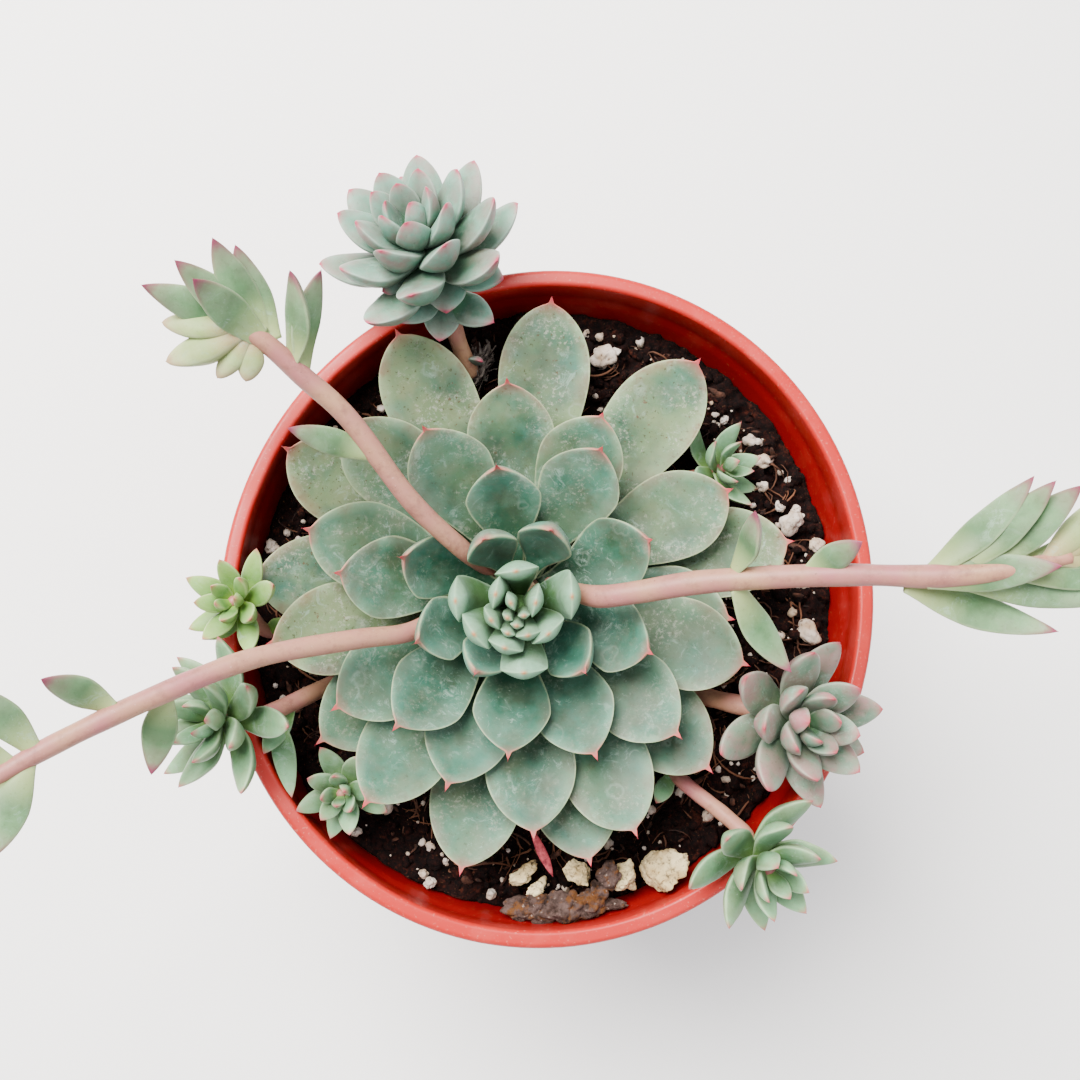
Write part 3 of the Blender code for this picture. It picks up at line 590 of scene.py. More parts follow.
stem_height = np.linspace(96.2, 116.2, 40)
stem_radius = np.interp(stem_height, [96.2, 108.0, 114.6, 116.2], [4.0, 3.9, 3.2, 1.6])
stem_radius *= 1 + 0.03 * np.sin(stem_height * 4.2)
stem_path = lean(np.column_stack([np.zeros((len(stem_height), 2)), stem_height]))
old_stem = mesh_object("old_stem", *tube(stem_path, stem_radius, 40), cork)
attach(old_stem, "root")
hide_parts("main_stem")


def weighted_sum(material, *terms):
    """Adds up terms, each a node's output and the weight that it counts with."""
    total = 0.0
    for value, weight in terms:
        added = add(material, "ShaderNodeMath", {0: value, 1: weight, 2: total}, operation="MULTIPLY_ADD")
        total = added.outputs[0]
    return total


def let_light_in(shader, radius):
    """Lets light sink about a millimetre into plant flesh, by radius for red, green and blue."""
    shader.inputs["Subsurface Weight"].default_value = 0.12
    shader.inputs["Subsurface Radius"].default_value = radius
    shader.inputs["Subsurface Scale"].default_value = MM


def leaf_material(name, deep, bloom, old, seat, margin, tip, blush, roughness, flushed=0.3, tip_mm=2.0):
    """Waxy leaf skin, coloured by where a point lies on its leaf.

    The mesh holds two vectors for each point. place is how far along the leaf it lies, its
    distance from the margin in millimetres, and 1 on the underside or 0 above. kind is the leaf's
    age, its own tone, and the distance from its tip in millimetres. flushed is how strong the pink
    brown of the underside is, and tip_mm how long the coloured tip.
    """
    skin, shader = new_material(name, roughness, 0.22)
    place = add(skin, "ShaderNodeAttribute", {}, attribute_name="place").outputs["Vector"]
    kind = add(skin, "ShaderNodeAttribute", {}, attribute_name="kind").outputs["Vector"]
    along, rim, under = add(skin, "ShaderNodeSeparateXYZ", {"Vector": place}).outputs
    age, tone, from_tip = add(skin, "ShaderNodeSeparateXYZ", {"Vector": kind}).outputs
    # Deep green near the seat turns to the blue white of the wax bloom near the end and near the margin, in
    # soft clouds; the dark seat is partly painted shade, and the pale end and margin partly painted light.
    cloud = mottling(skin, 9.0, 5.0, 0.62)
    bloom_and_painted_shading = weighted_sum(
        skin, (strength(skin, (along, 0.35, 1.0, 0.0, 0.6)), 1.0), (cloud, 1.1), (tone, 0.15),
        (strength(skin, (rim, 0.0, 4.5, 0.24, 0.0)), 1.0), (mottling(skin, 2.2, 5.0, 0.72), 0.35),
    )
    color = coat(skin, deep, bloom, (bloom_and_painted_shading, 0.94, 1.82))
    color = coat(skin, color, old, age, ((11.0, 3.0), 0.3, 0.62))
    # The seat colour near the foot of the leaf: on the main and young leaves it is a dark green that is
    # partly painted shade.
    color = coat(skin, color, seat, (along, 0.05, 0.45, 0.85, 0.0))
    # A pink brown flush on the underside and round the end of the leaf.
    patches = ((5.0, 4.0, 0.6), 0.40, 0.60)
    strongest_below = (under, 0.0, 1.0, 0.55 * flushed, flushed)
    color = coat(skin, color, blush, (along, 0.25, 0.85), patches, strongest_below)
    # Dark freckles and rusty scars on older skin.
    color = coat(skin, color, "30301a", ((0.8, 3.0, 0.7), 0.60, 0.68), (age, 0.1, 1.0, 0.2, 0.85))
    color = coat(skin, color, "513527", ((1.6, 4.0, 0.75), 0.62, 0.70), (age, 0.4, 1.0, 0.0, 0.8))
    # A chalky crust, most of it on older skin, smears in the bloom, and specks of dust everywhere.
    patches = ((7.0, 3.0), 0.46, 0.60)
    color = coat(skin, color, "8a9080", ((0.9, 5.0, 0.8), 0.52, 0.60), patches, (age, 0.0, 0.8, 0.08, 0.75))
    patches = ((9.0, 2.0), 0.45, 0.60, 0.0, 0.40)
    color = coat(skin, color, "86a093", ((3.2, 6.0, 0.8, 1.5), 0.54, 0.62), patches)
    color = coat(skin, color, "8f9c90", ((0.45, 2.0), 0.70, 0.78, 0.0, 0.35))
    # Broken chalky rings, about 6 mm apart, where drops of water dried in the bloom.
    where = add(skin, "ShaderNodeTexCoord", {}).outputs["Object"]
    drops = add(skin, "ShaderNodeTexVoronoi", {"Vector": where, "Scale": 170.0})
    distance = weighted_sum(skin, (drops.outputs["Distance"], 1.0), (mottling(skin, 1.8, 4.0), 0.42))
    chosen = add(skin, "ShaderNodeSeparateXYZ", {"Vector": drops.outputs["Color"]}).outputs["X"]
    color = coat(
        skin, color, "7d8f81", (distance, 0.40, 0.46), (distance, 0.46, 0.54, 1.0, 0.0),
        (chosen, 0.66, 0.72, 0.0, 0.32), (age, 0.0, 0.4, 0.35, 1.0),
    )
    # A broad olive and pinkish band along the margins of older leaves, then the thin translucent
    # margin itself, pink near the tip, and the coloured point, whose pink fades into the leaf.
    edge = weighted_sum(skin, (rim, 1.0), (mottling(skin, 2.0, 2.0), 0.5))
    band = coat(skin, margin, blush, ((5.0, 3.0), 0.42, 0.60))
    older = (age, 0.0, 0.8, 0.12, 0.60)
    color = coat(skin, color, band, (edge, 0.3, 3.2, 1.0, 0.0), (along, 0.3, 0.9), older)
    color = coat(skin, color, margin, (edge, 0.30, 0.65, 0.5, 0.0))
    color = coat(skin, color, tip, (edge, 0.4, 1.0, 0.5, 0.0), (from_tip, tip_mm, 2.6 * tip_mm, 1.0, 0.0))
    point = weighted_sum(skin, (from_tip, 1.0), (mottling(skin, 1.5, 2.0), 0.6 * tip_mm))
    color = coat(skin, color, tip, (point, tip_mm, 2.6 * tip_mm, 0.30, 0.0))
    color = coat(skin, color, tip, (point, 0.6 * tip_mm, 1.3 * tip_mm, 0.85, 0.0))
    relief = weighted_sum(skin, (mottling(skin, 3.5, 3.0), 1.0), (mottling(skin, 0.5, 3.0), 0.12))
    dress(skin, shader, color, relief, 0.35, 0.35)
    dulled = strength(skin, (cloud, 0.35, 0.7, roughness - 0.06, roughness + 0.1))
    skin.node_tree.links.new(dulled, shader.inputs["Roughness"])
    let_light_in(shader, (0.8, 1.2, 0.5))
    shader.inputs["Sheen Weight"].default_value = 0.04
    shader.inputs["Sheen Roughness"].default_value = 0.45
    shader.inputs["Sheen Tint"].default_value = linear("dfeee8")
    return skin


def shares_to_tip(count, crowding):
    """Shares of a leaf's length from seat to end, closer together near the end."""
    return 1 - (1 - np.linspace(0, 1, count, endpoint=False)) ** crowding


def once_round(around):
    """Round a leaf's section: how far to the side each point lies, -1 to 1, and 1 if it is underneath."""
    turn = np.linspace(0, 2 * np.pi, around, endpoint=False)
    return np.cos(turn), (np.sin(turn) < -0.01).astype(float)


def bowed_line(start, bend, end, share):
    """Points of the curve that leaves start towards bend and reaches end from it, and its heading there."""
    share = share[:, None]
    points = start * (1 - share) ** 2 + bend * 2 * share * (1 - share) + end * share ** 2
    heading = (bend - start) * (1 - share) + (end - bend) * share
    return points, heading / np.linalg.norm(heading, axis=1)[:, None]


def leaf_shell(rings, tip, along, side, wide, under, age, tone):
    """One closed leaf: its rings from seat to end, a pole at each end, and its place and kind values."""
    count, around = rings.shape[:2]
    points = np.concatenate([rings.reshape(-1, 3), [rings[0].mean(axis=0), tip]])
    grid = np.ones((count, around))
    place = np.stack([along[:, None] * grid, (1 - np.abs(side)) * wide[:, None], under * grid], axis=-1)
    place = np.concatenate([place.reshape(-1, 3), [[along[0], wide[0], 0.5], [1.0, 0.0, 0.5]]])
    from_tip = np.linalg.norm(points - tip, axis=1)
    kind = np.column_stack([np.full(len(points), age), np.full(len(points), tone), from_tip])
    quads, triangles = tube_faces(count, around)
    return points, quads, triangles, place, kind


def grow_leaves(name, node, shells, material):
    """One mesh object of one or more leaf shells, with their place and kind values on its points.

    It stands for the plain solid of that node.
    """
    all_points, all_quads, all_fans, *values = zip(*shells)
    starts = np.cumsum([0] + [len(points) for points in all_points[:-1]])
    made = mesh_object(
        name, np.concatenate(all_points),
        np.concatenate([quads + start for quads, start in zip(all_quads, starts)]),
        np.concatenate([fans + start for fans, start in zip(all_fans, starts)]), material,
    )
    for label, value in zip(("place", "kind"), values):
        row = made.data.attributes.new(label, "FLOAT_VECTOR", "POINT").data
        row.foreach_set("vector", np.concatenate(value).astype(np.float32).ravel())
    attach(made, "root")
    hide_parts(node)


# Seats on the stem are counted from the growing point; the heart takes up the first ones.
HEART_SEATS = 12
LAST_SEAT = 51


def main_leaf(order, bearing, reach, lift, age, tone):
    """A leaf of the main rosette, seated by its order, on its own surface of revolution round the stem.

    Its middle line is a curve of three points in radius and height. Across it, the angle grows
    with the distance from the middle line, so that the leaf wraps its bowl. It is cupped by a
    parabola, keeled below, and its outline widens to seven tenths, closes (straighter on the inner
    leaves, rounder on the outer ones) and ends in a short point that turns up.
    """
    seat = 118.0 - 19.5 * (order / LAST_SEAT) ** 0.9
    end_height = 129.0 - 22.0 * (reach / 60.0) ** 1.5 + lift
    half = 9.75 * (1 - np.exp(-reach / 21.0)) ** 1.1
    depth = 1.5 + 0.18 * half
    start = np.array([min(4.45, 0.35 * reach + 1.0), seat])
    end = np.array([reach, end_height])
    bend = start + (end - start) * (0.6, 0.25) + (0.0, 0.6 * lift)
    point = 1.7 / np.linalg.norm(end - start)
    t = shares_to_tip(64, 1.6)
    middle, heading = bowed_line(start, bend, end, t)
    normal = np.stack([-heading[:, 1], heading[:, 0]], axis=-1)
    rising = 0.22 + 0.78 * np.sin(np.pi / 2 * np.minimum(t / 0.7, 1.0)) ** 2.2
    closing = np.clip((t - 0.67) / (0.33 - point), 0, 1)
    spine = np.clip((1 - t) / (1.6 * point), 0, 1)
    round_end = min(reach / 50.0, 1.0) ** 1.8
    outline = (1 - closing ** (1.25 + 1.15 * round_end)) ** (0.92 - 0.20 * round_end)
    wide = half * (1.08 - 0.08 * round_end) * rising * outline
    wide = (wide ** 2.5 + (0.8 * spine ** 0.8) ** 2.5) ** (1 / 2.5)
    depth *= 1 + 0.8 * np.exp(-reach / 13.0)
    thick = depth * (0.34 + 0.66 * np.sin(np.pi * np.minimum(t / 1.25, 1.0)) ** 1.2)
    thick = ((thick * (1 - closing ** 2.4) ** 0.5) ** 3 + (1.1 * spine) ** 3) ** (1 / 3)
    side, under = once_round(44)
    lip = np.minimum(0.22 * thick, 0.3 + 0.5 * np.exp(-reach / 18.0))[:, None]
    above = lip * np.abs(side) ** 7
    below = lip + (thick[:, None] - lip) * (1 - np.abs(side) ** 1.7) ** 0.75
    sunk = 0.09 * wide[:, None] * (1 - side ** 2) + np.where(under > 0, below, above)
    sunk -= 0.45 * np.clip(1 - (1 - t) / (2 * point), 0, 1)[:, None] ** 2
    angle = np.radians(bearing) + side * wide[:, None] / np.maximum(middle[:, :1], 3.0)
    radius = middle[:, :1] - normal[:, :1] * sunk
    height = middle[:, 1:] - normal[:, 1:] * sunk
    rings = np.stack([radius * np.cos(angle), radius * np.sin(angle), height], axis=-1)
    aim = np.radians(bearing)
    tip = np.array([(reach + 0.2) * np.cos(aim), (reach + 0.2) * np.sin(aim), end_height + 0.45])
    uneven = waves(rings, 14.0, 12, 100 + order) * 0.28 + waves(rings, 5.0, 16, 200 + order) * 0.07
    rings[..., 2] += uneven * np.minimum(t * 2, 1)[:, None]
    return leaf_shell(lean(rings), lean(tip), t, side, wide, under, age, tone)


# A grown leaf: blue green skin under a matt white bloom of wax, pink along the margin and at the
# point, with scars and chalk where it is old.
# The dark deep and seat greens are partly painted shade towards the foot of each leaf, and the bloom partly
# painted light towards its end.
main_skin = leaf_material(
    "waxy_leaf_skin", deep="0c3627", bloom="487c6b", old="5b6f4e", seat="14331d", margin="95a07c",
    tip="b0263e", blush="7d5648", roughness=0.5,
)
# Bearing in degrees, reach, and the lift of the end, from the inside out.
LEAVES = (
    (237, 13.3, -0.3), (114, 14.4, 0.3), (319, 16.8, 0.0), (66, 16.3, 0.0), (198, 18.9, 0.3),
    (156, 23.0, -0.3), (342, 26.0, 0.0), (267, 26.8, 0.4), (98, 26.6, 0.0), (27, 28.0, -0.3),
    (298, 31.0, -0.4), (225, 31.0, 0.5), (170, 33.7, -0.3), (62, 33.7, 0.6), (249, 36.0, -1.4),
    (321, 38.5, 0.4), (210, 38.6, -0.2), (118, 37.5, 0.4), (66, 39.5, -0.4), (274, 42.7, 0.8),
    (161, 41.7, 0.4), (93, 42.5, -0.5), (345, 44.5, 1.0), (355, 41.0, -4.4), (233, 46.2, 1.6),
    (216, 46.2, -3.2), (190, 46.8, 0.8), (28, 46.0, 0.4), (297, 48.0, 2.0), (318, 48.8, -2.6),
    (134, 47.0, 1.0), (285, 51.6, -2.2), (176, 50.6, -1.4), (258, 52.5, -1.8), (148, 53.5, -2.2),
    (12, 54.0, 0.2), (115, 57.0, 0.6), (53, 58.8, 0.6), (84, 59.2, 0.2),
)
# The outer leaves are the older ones, more so at the back, and three on the left are worn the most.
MOST_WORN = (27, 33, 35)
leaf_tones = np.random.default_rng(71).random(len(LEAVES))
leaf_tones += [2.2 * np.exp(-reach / 22.0) for _, reach, _ in LEAVES]
for number, (bearing, reach, lift) in enumerate(LEAVES, start=1):
    age = np.clip((reach - 20.0) / 34.0, 0.0, 1.0) ** 1.5 * (0.75 + 0.35 * np.sin(np.radians(bearing)))
    age = 1.25 if number in MOST_WORN else age
    shell = main_leaf(number + HEART_SEATS, bearing, reach, lift, age, leaf_tones[number - 1])
    grow_leaves(f"main_leaf_{number:02d}", f"leaf_{number:02d}", [shell], main_skin)


def plump_leaf(base, tip, face, half, depth, arch, age, tone, taper, broad=0.5, steps=34, around=28):
    """A small fleshy leaf from base to tip; face is the way its upper side looks.

    Its outline widens from a narrow seat to its broadest place and closes by a power of the
    distance; a smaller taper makes the end blunter. The upper side is nearly flat, the lower keeled.
    """
    base, tip, face = (np.asarray(value, dtype=float) for value in (base, tip, face))
    base, tip = base + PLANT_SHIFT, tip + PLANT_SHIFT
    length = np.linalg.norm(tip - base)
    forward = (tip - base) / length
    sideways = np.cross(face, forward)
    sideways /= np.linalg.norm(sideways)
    upward = np.cross(forward, sideways)
    t = shares_to_tip(steps, 1.5)
    rising = 0.45 + 0.55 * np.sin(np.pi / 2 * np.minimum(t / broad, 1.0)) ** 1.3
    closing = np.clip((t - broad + 0.08) / (1.08 - broad), 0, 1)
    point = np.clip((1 - t) * length / 1.8, 0, 1)
    wide = half * rising * (1 - closing ** 2.0) ** taper
    wide = (wide ** 3 + (0.35 * point) ** 3) ** (1 / 3)
    thick = depth * (0.65 + 0.35 * np.sin(np.pi * t)) * (1 - closing ** 2.6) ** 0.6
    thick = (thick ** 3 + (0.4 * point) ** 3) ** (1 / 3)
    side, under = once_round(around)
    swell = np.where(under > 0, -0.9 * (1 - np.abs(side) ** 1.8) ** 0.8, 0.35 * (1 - side ** 2) ** 0.6)
    sag = arch * length * 4 * t * (1 - t)
    spine = base + forward * (t * length)[:, None] - upward * sag[:, None]
    rings = spine[:, None] + sideways * (side * wide[:, None])[..., None]
    rings = rings + upward * (swell * thick[:, None])[..., None]
    own_seed = int(abs(base[0] * 7 + tip[1] * 13)) + 1
    rings += upward * (waves(rings, 6.0, 10, own_seed) * 0.12)[..., None]
    return leaf_shell(rings, tip + forward * 0.15, t, side, wide, under, age, tone)


def heart_leaf(foot, bend, top, half, thick, tone):
    """A young leaf that goes out from its foot and turns up to its top, a curve of three points.

    Its section is a lens with sharp sides, and its end a low ridged roof.
    """
    t = shares_to_tip(40, 1.6)
    spine, forward = bowed_line(foot, bend, top, t)
    sideways = np.cross(top - foot, (0.0, 0.0, 1.0))
    sideways /= np.linalg.norm(sideways)
    upward = np.cross(forward, sideways)
    left = np.linalg.norm(top - spine, axis=1)
    roof = np.clip(1 - left / (0.5 * half + 0.4), 0, 1)
    swelling = np.sin(np.pi / 2 * np.minimum(t / 0.75, 1.0))
    wide = half * (0.35 + 0.65 * swelling) * (1 - roof ** 1.9) ** 0.75
    deep = thick * (0.4 + 0.6 * swelling) * (1 - roof ** 2.0) ** 0.7
    side, under = once_round(40)
    lens = np.where(under > 0, -0.5, 0.5) * (1 - np.abs(side) ** 1.8)
    rings = spine[:, None] + sideways * (side * wide[:, None])[..., None]
    rings = rings + upward[:, None] * (lens * deep[:, None])[..., None]
    return leaf_shell(rings, top + forward[-1] * 0.1, t, side, wide, under, 0.0, tone)


# The heart: sixteen young leaves that stand up round the growing point.
# The dark seat green is partly painted shade in the gaps between the packed young leaves.
heart_skin = leaf_material(
    "young_leaf_skin", deep="315029", bloom="76a088", old="566548", seat="18300c", margin="7f9f80",
    tip="986540", blush="5e6d53", roughness=0.48, tip_mm=0.35,
)
# Bearing, how far out the middle of the blunt end stands, and half the width.
HEART_LEAVES = (
    (200, 1.3, 1.1), (357, 1.7, 1.1), (282, 1.9, 1.2), (107, 2.3, 1.7), (250, 3.4, 1.4), (192, 4.2, 2.4),
    (304, 4.3, 2.4), (31, 4.4, 3.0), (132, 5.0, 3.0), (254, 6.1, 3.2), (331, 6.9, 3.6), (88, 7.7, 4.0),
    (206, 8.0, 3.9), (279, 10.6, 4.2), (17, 10.7, 4.4), (168, 10.8, 4.1),
)
heart_shells = []
for bearing, reach, half in HEART_LEAVES:
    swirl = np.radians(bearing)
    out = np.array([np.cos(swirl), np.sin(swirl), 0.0])
    foot_height = 121.4 - 0.34 * reach
    foot = lean(out * (0.4 + 0.11 * reach) + (0.0, 0.0, foot_height))
    bend = lean(out * 0.95 * reach + (0.0, 0.0, foot_height + 0.16 * reach + 0.6))
    top = lean(out * reach * 0.98 + (0.0, 0.0, 129.6 - 0.016 * reach ** 2))
    heart_shells.append(heart_leaf(foot, bend, top, half, 0.7 + 0.74 * half, 0.1 * reach - 0.7))
grow_leaves("heart_leaves", "heart", heart_shells, heart_skin)

# The growing point: tender green tissue with no wax on it yet.
core_height = np.linspace(117.4, 123.0, 12)
core_path = lean(np.column_stack([np.zeros((len(core_height), 2)), core_height]))
core_radius = np.interp(core_height, [117.4, 119.0, 122.0, 123.0], [1.5, 2.2, 1.5, 0.8])
core_skin = layered_material("growing_point_skin", 0.6, 0.3, "243d1c", (
    ("4c7040", ((1.5, 3.0), 0.35, 0.65)),
))
growing_point = mesh_object("growing_point", *tube(core_path, core_radius, 24), core_skin)
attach(growing_point, "root")
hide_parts("heart")

# ---------------------------------------------------------------------------
# Three flower stalks, arching out of the rosette between its leaves. Each is a
# round pink stem with narrow leaves along it, and a head of leaves and buds.

# Stalk skin: smooth and soft, pink turning straw where it is older, with darker and paler dots.
stalk_skin = layered_material("flower_stalk_skin", 0.45, 0.3, "92595a", (
    ("9c775c", ((12.0, 3.0), 0.35, 0.65)),
    ("6b3c3e", ((3.0, 4.0, 0.7), 0.50, 0.72, 0.0, 0.6)),
    ("af8c84", ((0.5, 2.0), 0.70, 0.76, 0.0, 0.6)),
    ("4d2b2a", ((0.7, 2.0), 0.72, 0.78, 0.0, 0.6)),
), ((1.8, 4.0, 0.6), 0.35, 0.2))
let_light_in(stalk_skin.node_tree.nodes["Principled BSDF"], (1.2, 0.7, 0.5))

# Stalk leaves: thin bloom over fresh green, purple at the point. Buds: yellow green, still closed.
stalk_leaf_skin = leaf_material(
    "stalk_leaf_skin", deep="436541", bloom="7fa479", old="737f57", seat="95a06a", margin="8b9976",
    tip="772647", blush="7a4c5f", roughness=0.46, tip_mm=2.6,
)
bud_skin = leaf_material(
    "flower_bud_skin", deep="798e55", bloom="a7b888", old="95986b", seat="9c8060", margin="9ca47c",
    tip="957a60", blush="958260", roughness=0.5,
)


def grow_stem(name, node, path, radii, steps, around, swell_mm, swelling, seed):
    """A stem along a smooth path: its radius runs through radii and swells a little every swell_mm."""
    line = smooth_path(path, steps) + PLANT_SHIFT
    thick = np.interp(np.linspace(0, len(radii) - 1, len(line)), np.arange(len(radii)), radii)
    thick *= 1 + swelling * waves(line, swell_mm, 8, seed)
    stem = mesh_object(name, *tube(line, thick, around), stalk_skin)
    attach(stem, "root")
    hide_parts(node)


def flower_stalk(side, path, radii, leaves, buds):
    """The stem, leaves and buds of one stalk.

    Each leaf or bud is its base, its tip, the way its face looks, and half its width.
    """
    name, node = f"flower_stalk_{side}", f"stalk_{side}"
    grow_stem(name, node, path, radii, 14, 28, 7.0, 0.03, 300)
    leaf_shells = [
        plump_leaf(base, tip, face, half, 2.2, 0.08, 0.0, (0.37 * i) % 1, taper=0.9, steps=40, around=32)
        for i, (base, tip, face, half) in enumerate(leaves)
    ]
    grow_leaves(f"{name}_leaves", node, leaf_shells, stalk_leaf_skin)
    bud_shells = [
        plump_leaf(base, tip, face, half, half * 1.55, 0.0, 0.0, (0.37 * i) % 1, taper=0.62)
        for i, (base, tip, face, half) in enumerate(buds)
    ]
    grow_leaves(f"{name}_buds", node, bud_shells, bud_skin)


flower_stalk(
    "back",
    ((-9.0, 6.0, 106.5), (-12.6, 7.6, 113.0), (-16.6, 10.0, 119.5), (-25.4, 17.6, 126.0),
     (-35.7, 30.4, 133.0), (-43.3, 36.8, 137.0), (-49.5, 41.8, 140.5), (-54.5, 43.6, 142.0)),
    (1.0, 1.5, 1.8, 1.8, 1.8, 1.8, 1.6, 1.2),
    (((-31.0, 24.6, 130.0), (-45.4, 27.6, 138.0), (0.2, -0.3, 1.0), 2.4),
     ((-45.0, 38.6, 138.2), (-44.2, 51.0, 149.0), (-0.7, -0.5, 0.5), 3.2),
     ((-43.2, 37.2, 137.5), (-39.6, 52.6, 145.0), (0.7, -0.4, 0.6), 3.0),
     ((-49.0, 41.4, 140.4), (-58.6, 48.0, 153.0), (0.5, -0.5, 0.6), 3.1),
     ((-50.0, 42.4, 140.6), (-68.0, 48.8, 147.0), (0.1, -0.5, 0.9), 3.2),
     ((-49.4, 42.6, 141.0), (-62.2, 52.0, 150.0), (0.4, -0.4, 0.8), 3.0),
     ((-48.6, 42.2, 140.6), (-56.6, 56.2, 149.0), (0.4, -0.2, 0.9), 3.1),
     ((-47.6, 42.0, 140.2), (-53.6, 56.4, 145.5), (0.3, -0.1, 0.9), 3.0)),
    (((-53.0, 42.6, 141.5), (-65.5, 38.4, 139.0), (0.1, 0.3, 1.0), 2.9),
     ((-53.4, 43.6, 142.0), (-66.0, 44.6, 140.5), (0.0, 0.2, 1.0), 2.6),
     ((-52.0, 42.0, 141.0), (-57.2, 36.0, 138.0), (0.1, 0.3, 1.0), 2.2),
     ((-50.8, 41.6, 140.6), (-52.4, 35.4, 138.4), (0.0, 0.2, 1.0), 2.3)),
)
flower_stalk(
    "right",
    ((0.4, 4.8, 108.5), (3.6, 2.6, 116.5), (8.4, 1.0, 121.5), (15.4, 1.6, 125.0), (25.5, 3.0, 129.0),
     (40.0, 3.7, 133.5), (51.4, 3.7, 137.0), (64.0, 3.2, 140.5), (74.0, 4.0, 143.5), (84.0, 6.0, 146.0)),
    (1.0, 1.6, 2.0, 2.1, 2.1, 2.0, 2.0, 2.0, 1.7, 1.2),
    (((31.0, 4.8, 131.5), (32.8, 14.0, 140.0), (-0.8, 0.1, 0.5), 3.0),
     ((42.4, 3.6, 135.0), (50.4, 8.8, 142.0), (-0.4, -0.4, 0.8), 2.6),
     ((31.6, 2.0, 130.6), (42.0, -12.6, 126.5), (0.3, 0.1, 1.0), 3.3),
     ((62.0, 3.6, 140.0), (76.6, 18.8, 150.0), (-0.4, 0.4, 0.9), 3.0),
     ((66.0, 3.8, 141.2), (79.0, 17.6, 152.5), (-0.4, 0.2, 0.9), 3.0),
     ((70.0, 4.2, 142.4), (83.0, 16.8, 153.0), (-0.3, 0.1, 0.9), 3.2),
     ((61.6, 2.4, 140.6), (81.0, 4.2, 149.0), (-0.2, -0.2, 1.0), 3.2),
     ((59.0, 2.0, 138.0), (84.0, -6.0, 140.5), (0.0, 0.2, 1.0), 3.3),
     ((67.0, 2.4, 141.0), (92.0, -1.2, 147.0), (-0.1, -0.2, 1.0), 3.2),
     ((74.0, 4.0, 143.5), (96.0, 3.4, 151.0), (-0.2, 0.0, 1.0), 3.2),
     ((76.0, 4.6, 144.0), (97.0, 11.0, 151.0), (-0.2, 0.2, 1.0), 3.3)),
    (((82.0, 6.0, 145.5), (94.0, 14.0, 147.0), (0.0, 0.3, 1.0), 2.8),
     ((82.0, 5.6, 145.5), (96.0, 7.5, 145.0), (0.0, 0.2, 1.0), 2.8),
     ((80.0, 5.0, 145.0), (91.0, 16.5, 149.0), (-0.2, 0.1, 1.0), 2.6)),
)
flower_stalk(
    "left",
    ((-11.4, 2.8, 106.4), (-16.2, 0.2, 110.0), (-21.6, -3.2, 114.2), (-26.6, -5.6, 118.0),
     (-35.7, -7.0, 122.4), (-52.0, -10.5, 128.0), (-67.2, -17.0, 132.5), (-81.0, -24.2, 136.5),
     (-90.0, -29.8, 139.5), (-96.0, -33.6, 141.5)),
    (1.0, 1.5, 1.7, 1.8, 1.8, 1.8, 1.8, 1.7, 1.5, 1.2),
    (((-65.2, -16.8, 131.6), (-68.6, -30.0, 125.5), (0.3, 0.3, 1.0), 3.0),
     ((-73.0, -18.8, 134.4), (-82.0, -14.2, 143.0), (0.3, -0.6, 0.8), 2.9),
     ((-84.0, -25.6, 137.6), (-92.0, -15.4, 147.0), (0.4, -0.5, 0.8), 3.0),
     ((-85.0, -27.2, 138.0), (-88.0, -41.8, 145.0), (0.3, 0.5, 0.8), 3.0),
     ((-87.0, -28.0, 138.6), (-101.0, -20.8, 149.0), (0.5, -0.3, 0.8), 3.1),
     ((-88.0, -28.8, 139.0), (-99.0, -41.3, 147.0), (0.4, 0.3, 0.9), 3.1),
     ((-90.0, -29.8, 139.6), (-107.0, -29.8, 150.0), (0.5, 0.1, 0.9), 3.1)),
    (((-94.0, -32.4, 141.0), (-106.0, -37.3, 141.5), (0.1, 0.0, 1.0), 2.8),
     ((-94.0, -32.2, 141.0), (-104.0, -42.8, 141.0), (0.1, 0.2, 1.0), 2.5),
     ((-93.0, -31.4, 140.6), (-107.5, -31.3, 144.0), (0.1, 0.1, 1.0), 2.4)),
)

# ---------------------------------------------------------------------------
# Seven side rosettes, each on a stem of its own out of the soil. Leaves follow
# the golden angle; the outer ones open wider and start lower on the stem.

GOLDEN_ANGLE = np.radians(137.508)
# Skins of the side rosettes: the same green skin under wax bloom, more or less flushed with pink brown, and
# lime green on the youngest.
side_skins = {
    "green": leaf_material(
        "side_leaf_skin_green", deep="35593a", bloom="78ab80", old="788657", seat="5f7e36", margin="94ab88",
        tip="9b3f4c", blush="86694f", roughness=0.46, flushed=0.3, tip_mm=0.7,
    ),
    "blue": leaf_material(
        "side_leaf_skin_blue", deep="2f5646", bloom="7aa896", old="6f7f5e", seat="426b3a", margin="93a397",
        tip="a02a4c", blush="9a5c66", roughness=0.48, flushed=0.5, tip_mm=1.0,
    ),
    "mauve": leaf_material(
        "side_leaf_skin_mauve", deep="33513f", bloom="6b8b76", old="707059", seat="3e5f32", margin="8c9384",
        tip="993545", blush="9c5f68", roughness=0.48, flushed=0.85, tip_mm=0.9,
    ),
    "lime": leaf_material(
        "side_leaf_skin_lime", deep="45702f", bloom="88b462", old="829048", seat="7b9a36", margin="9bae74",
        tip="9b504c", blush="8c7d48", roughness=0.46, flushed=0.2, tip_mm=0.6,
    ),
}


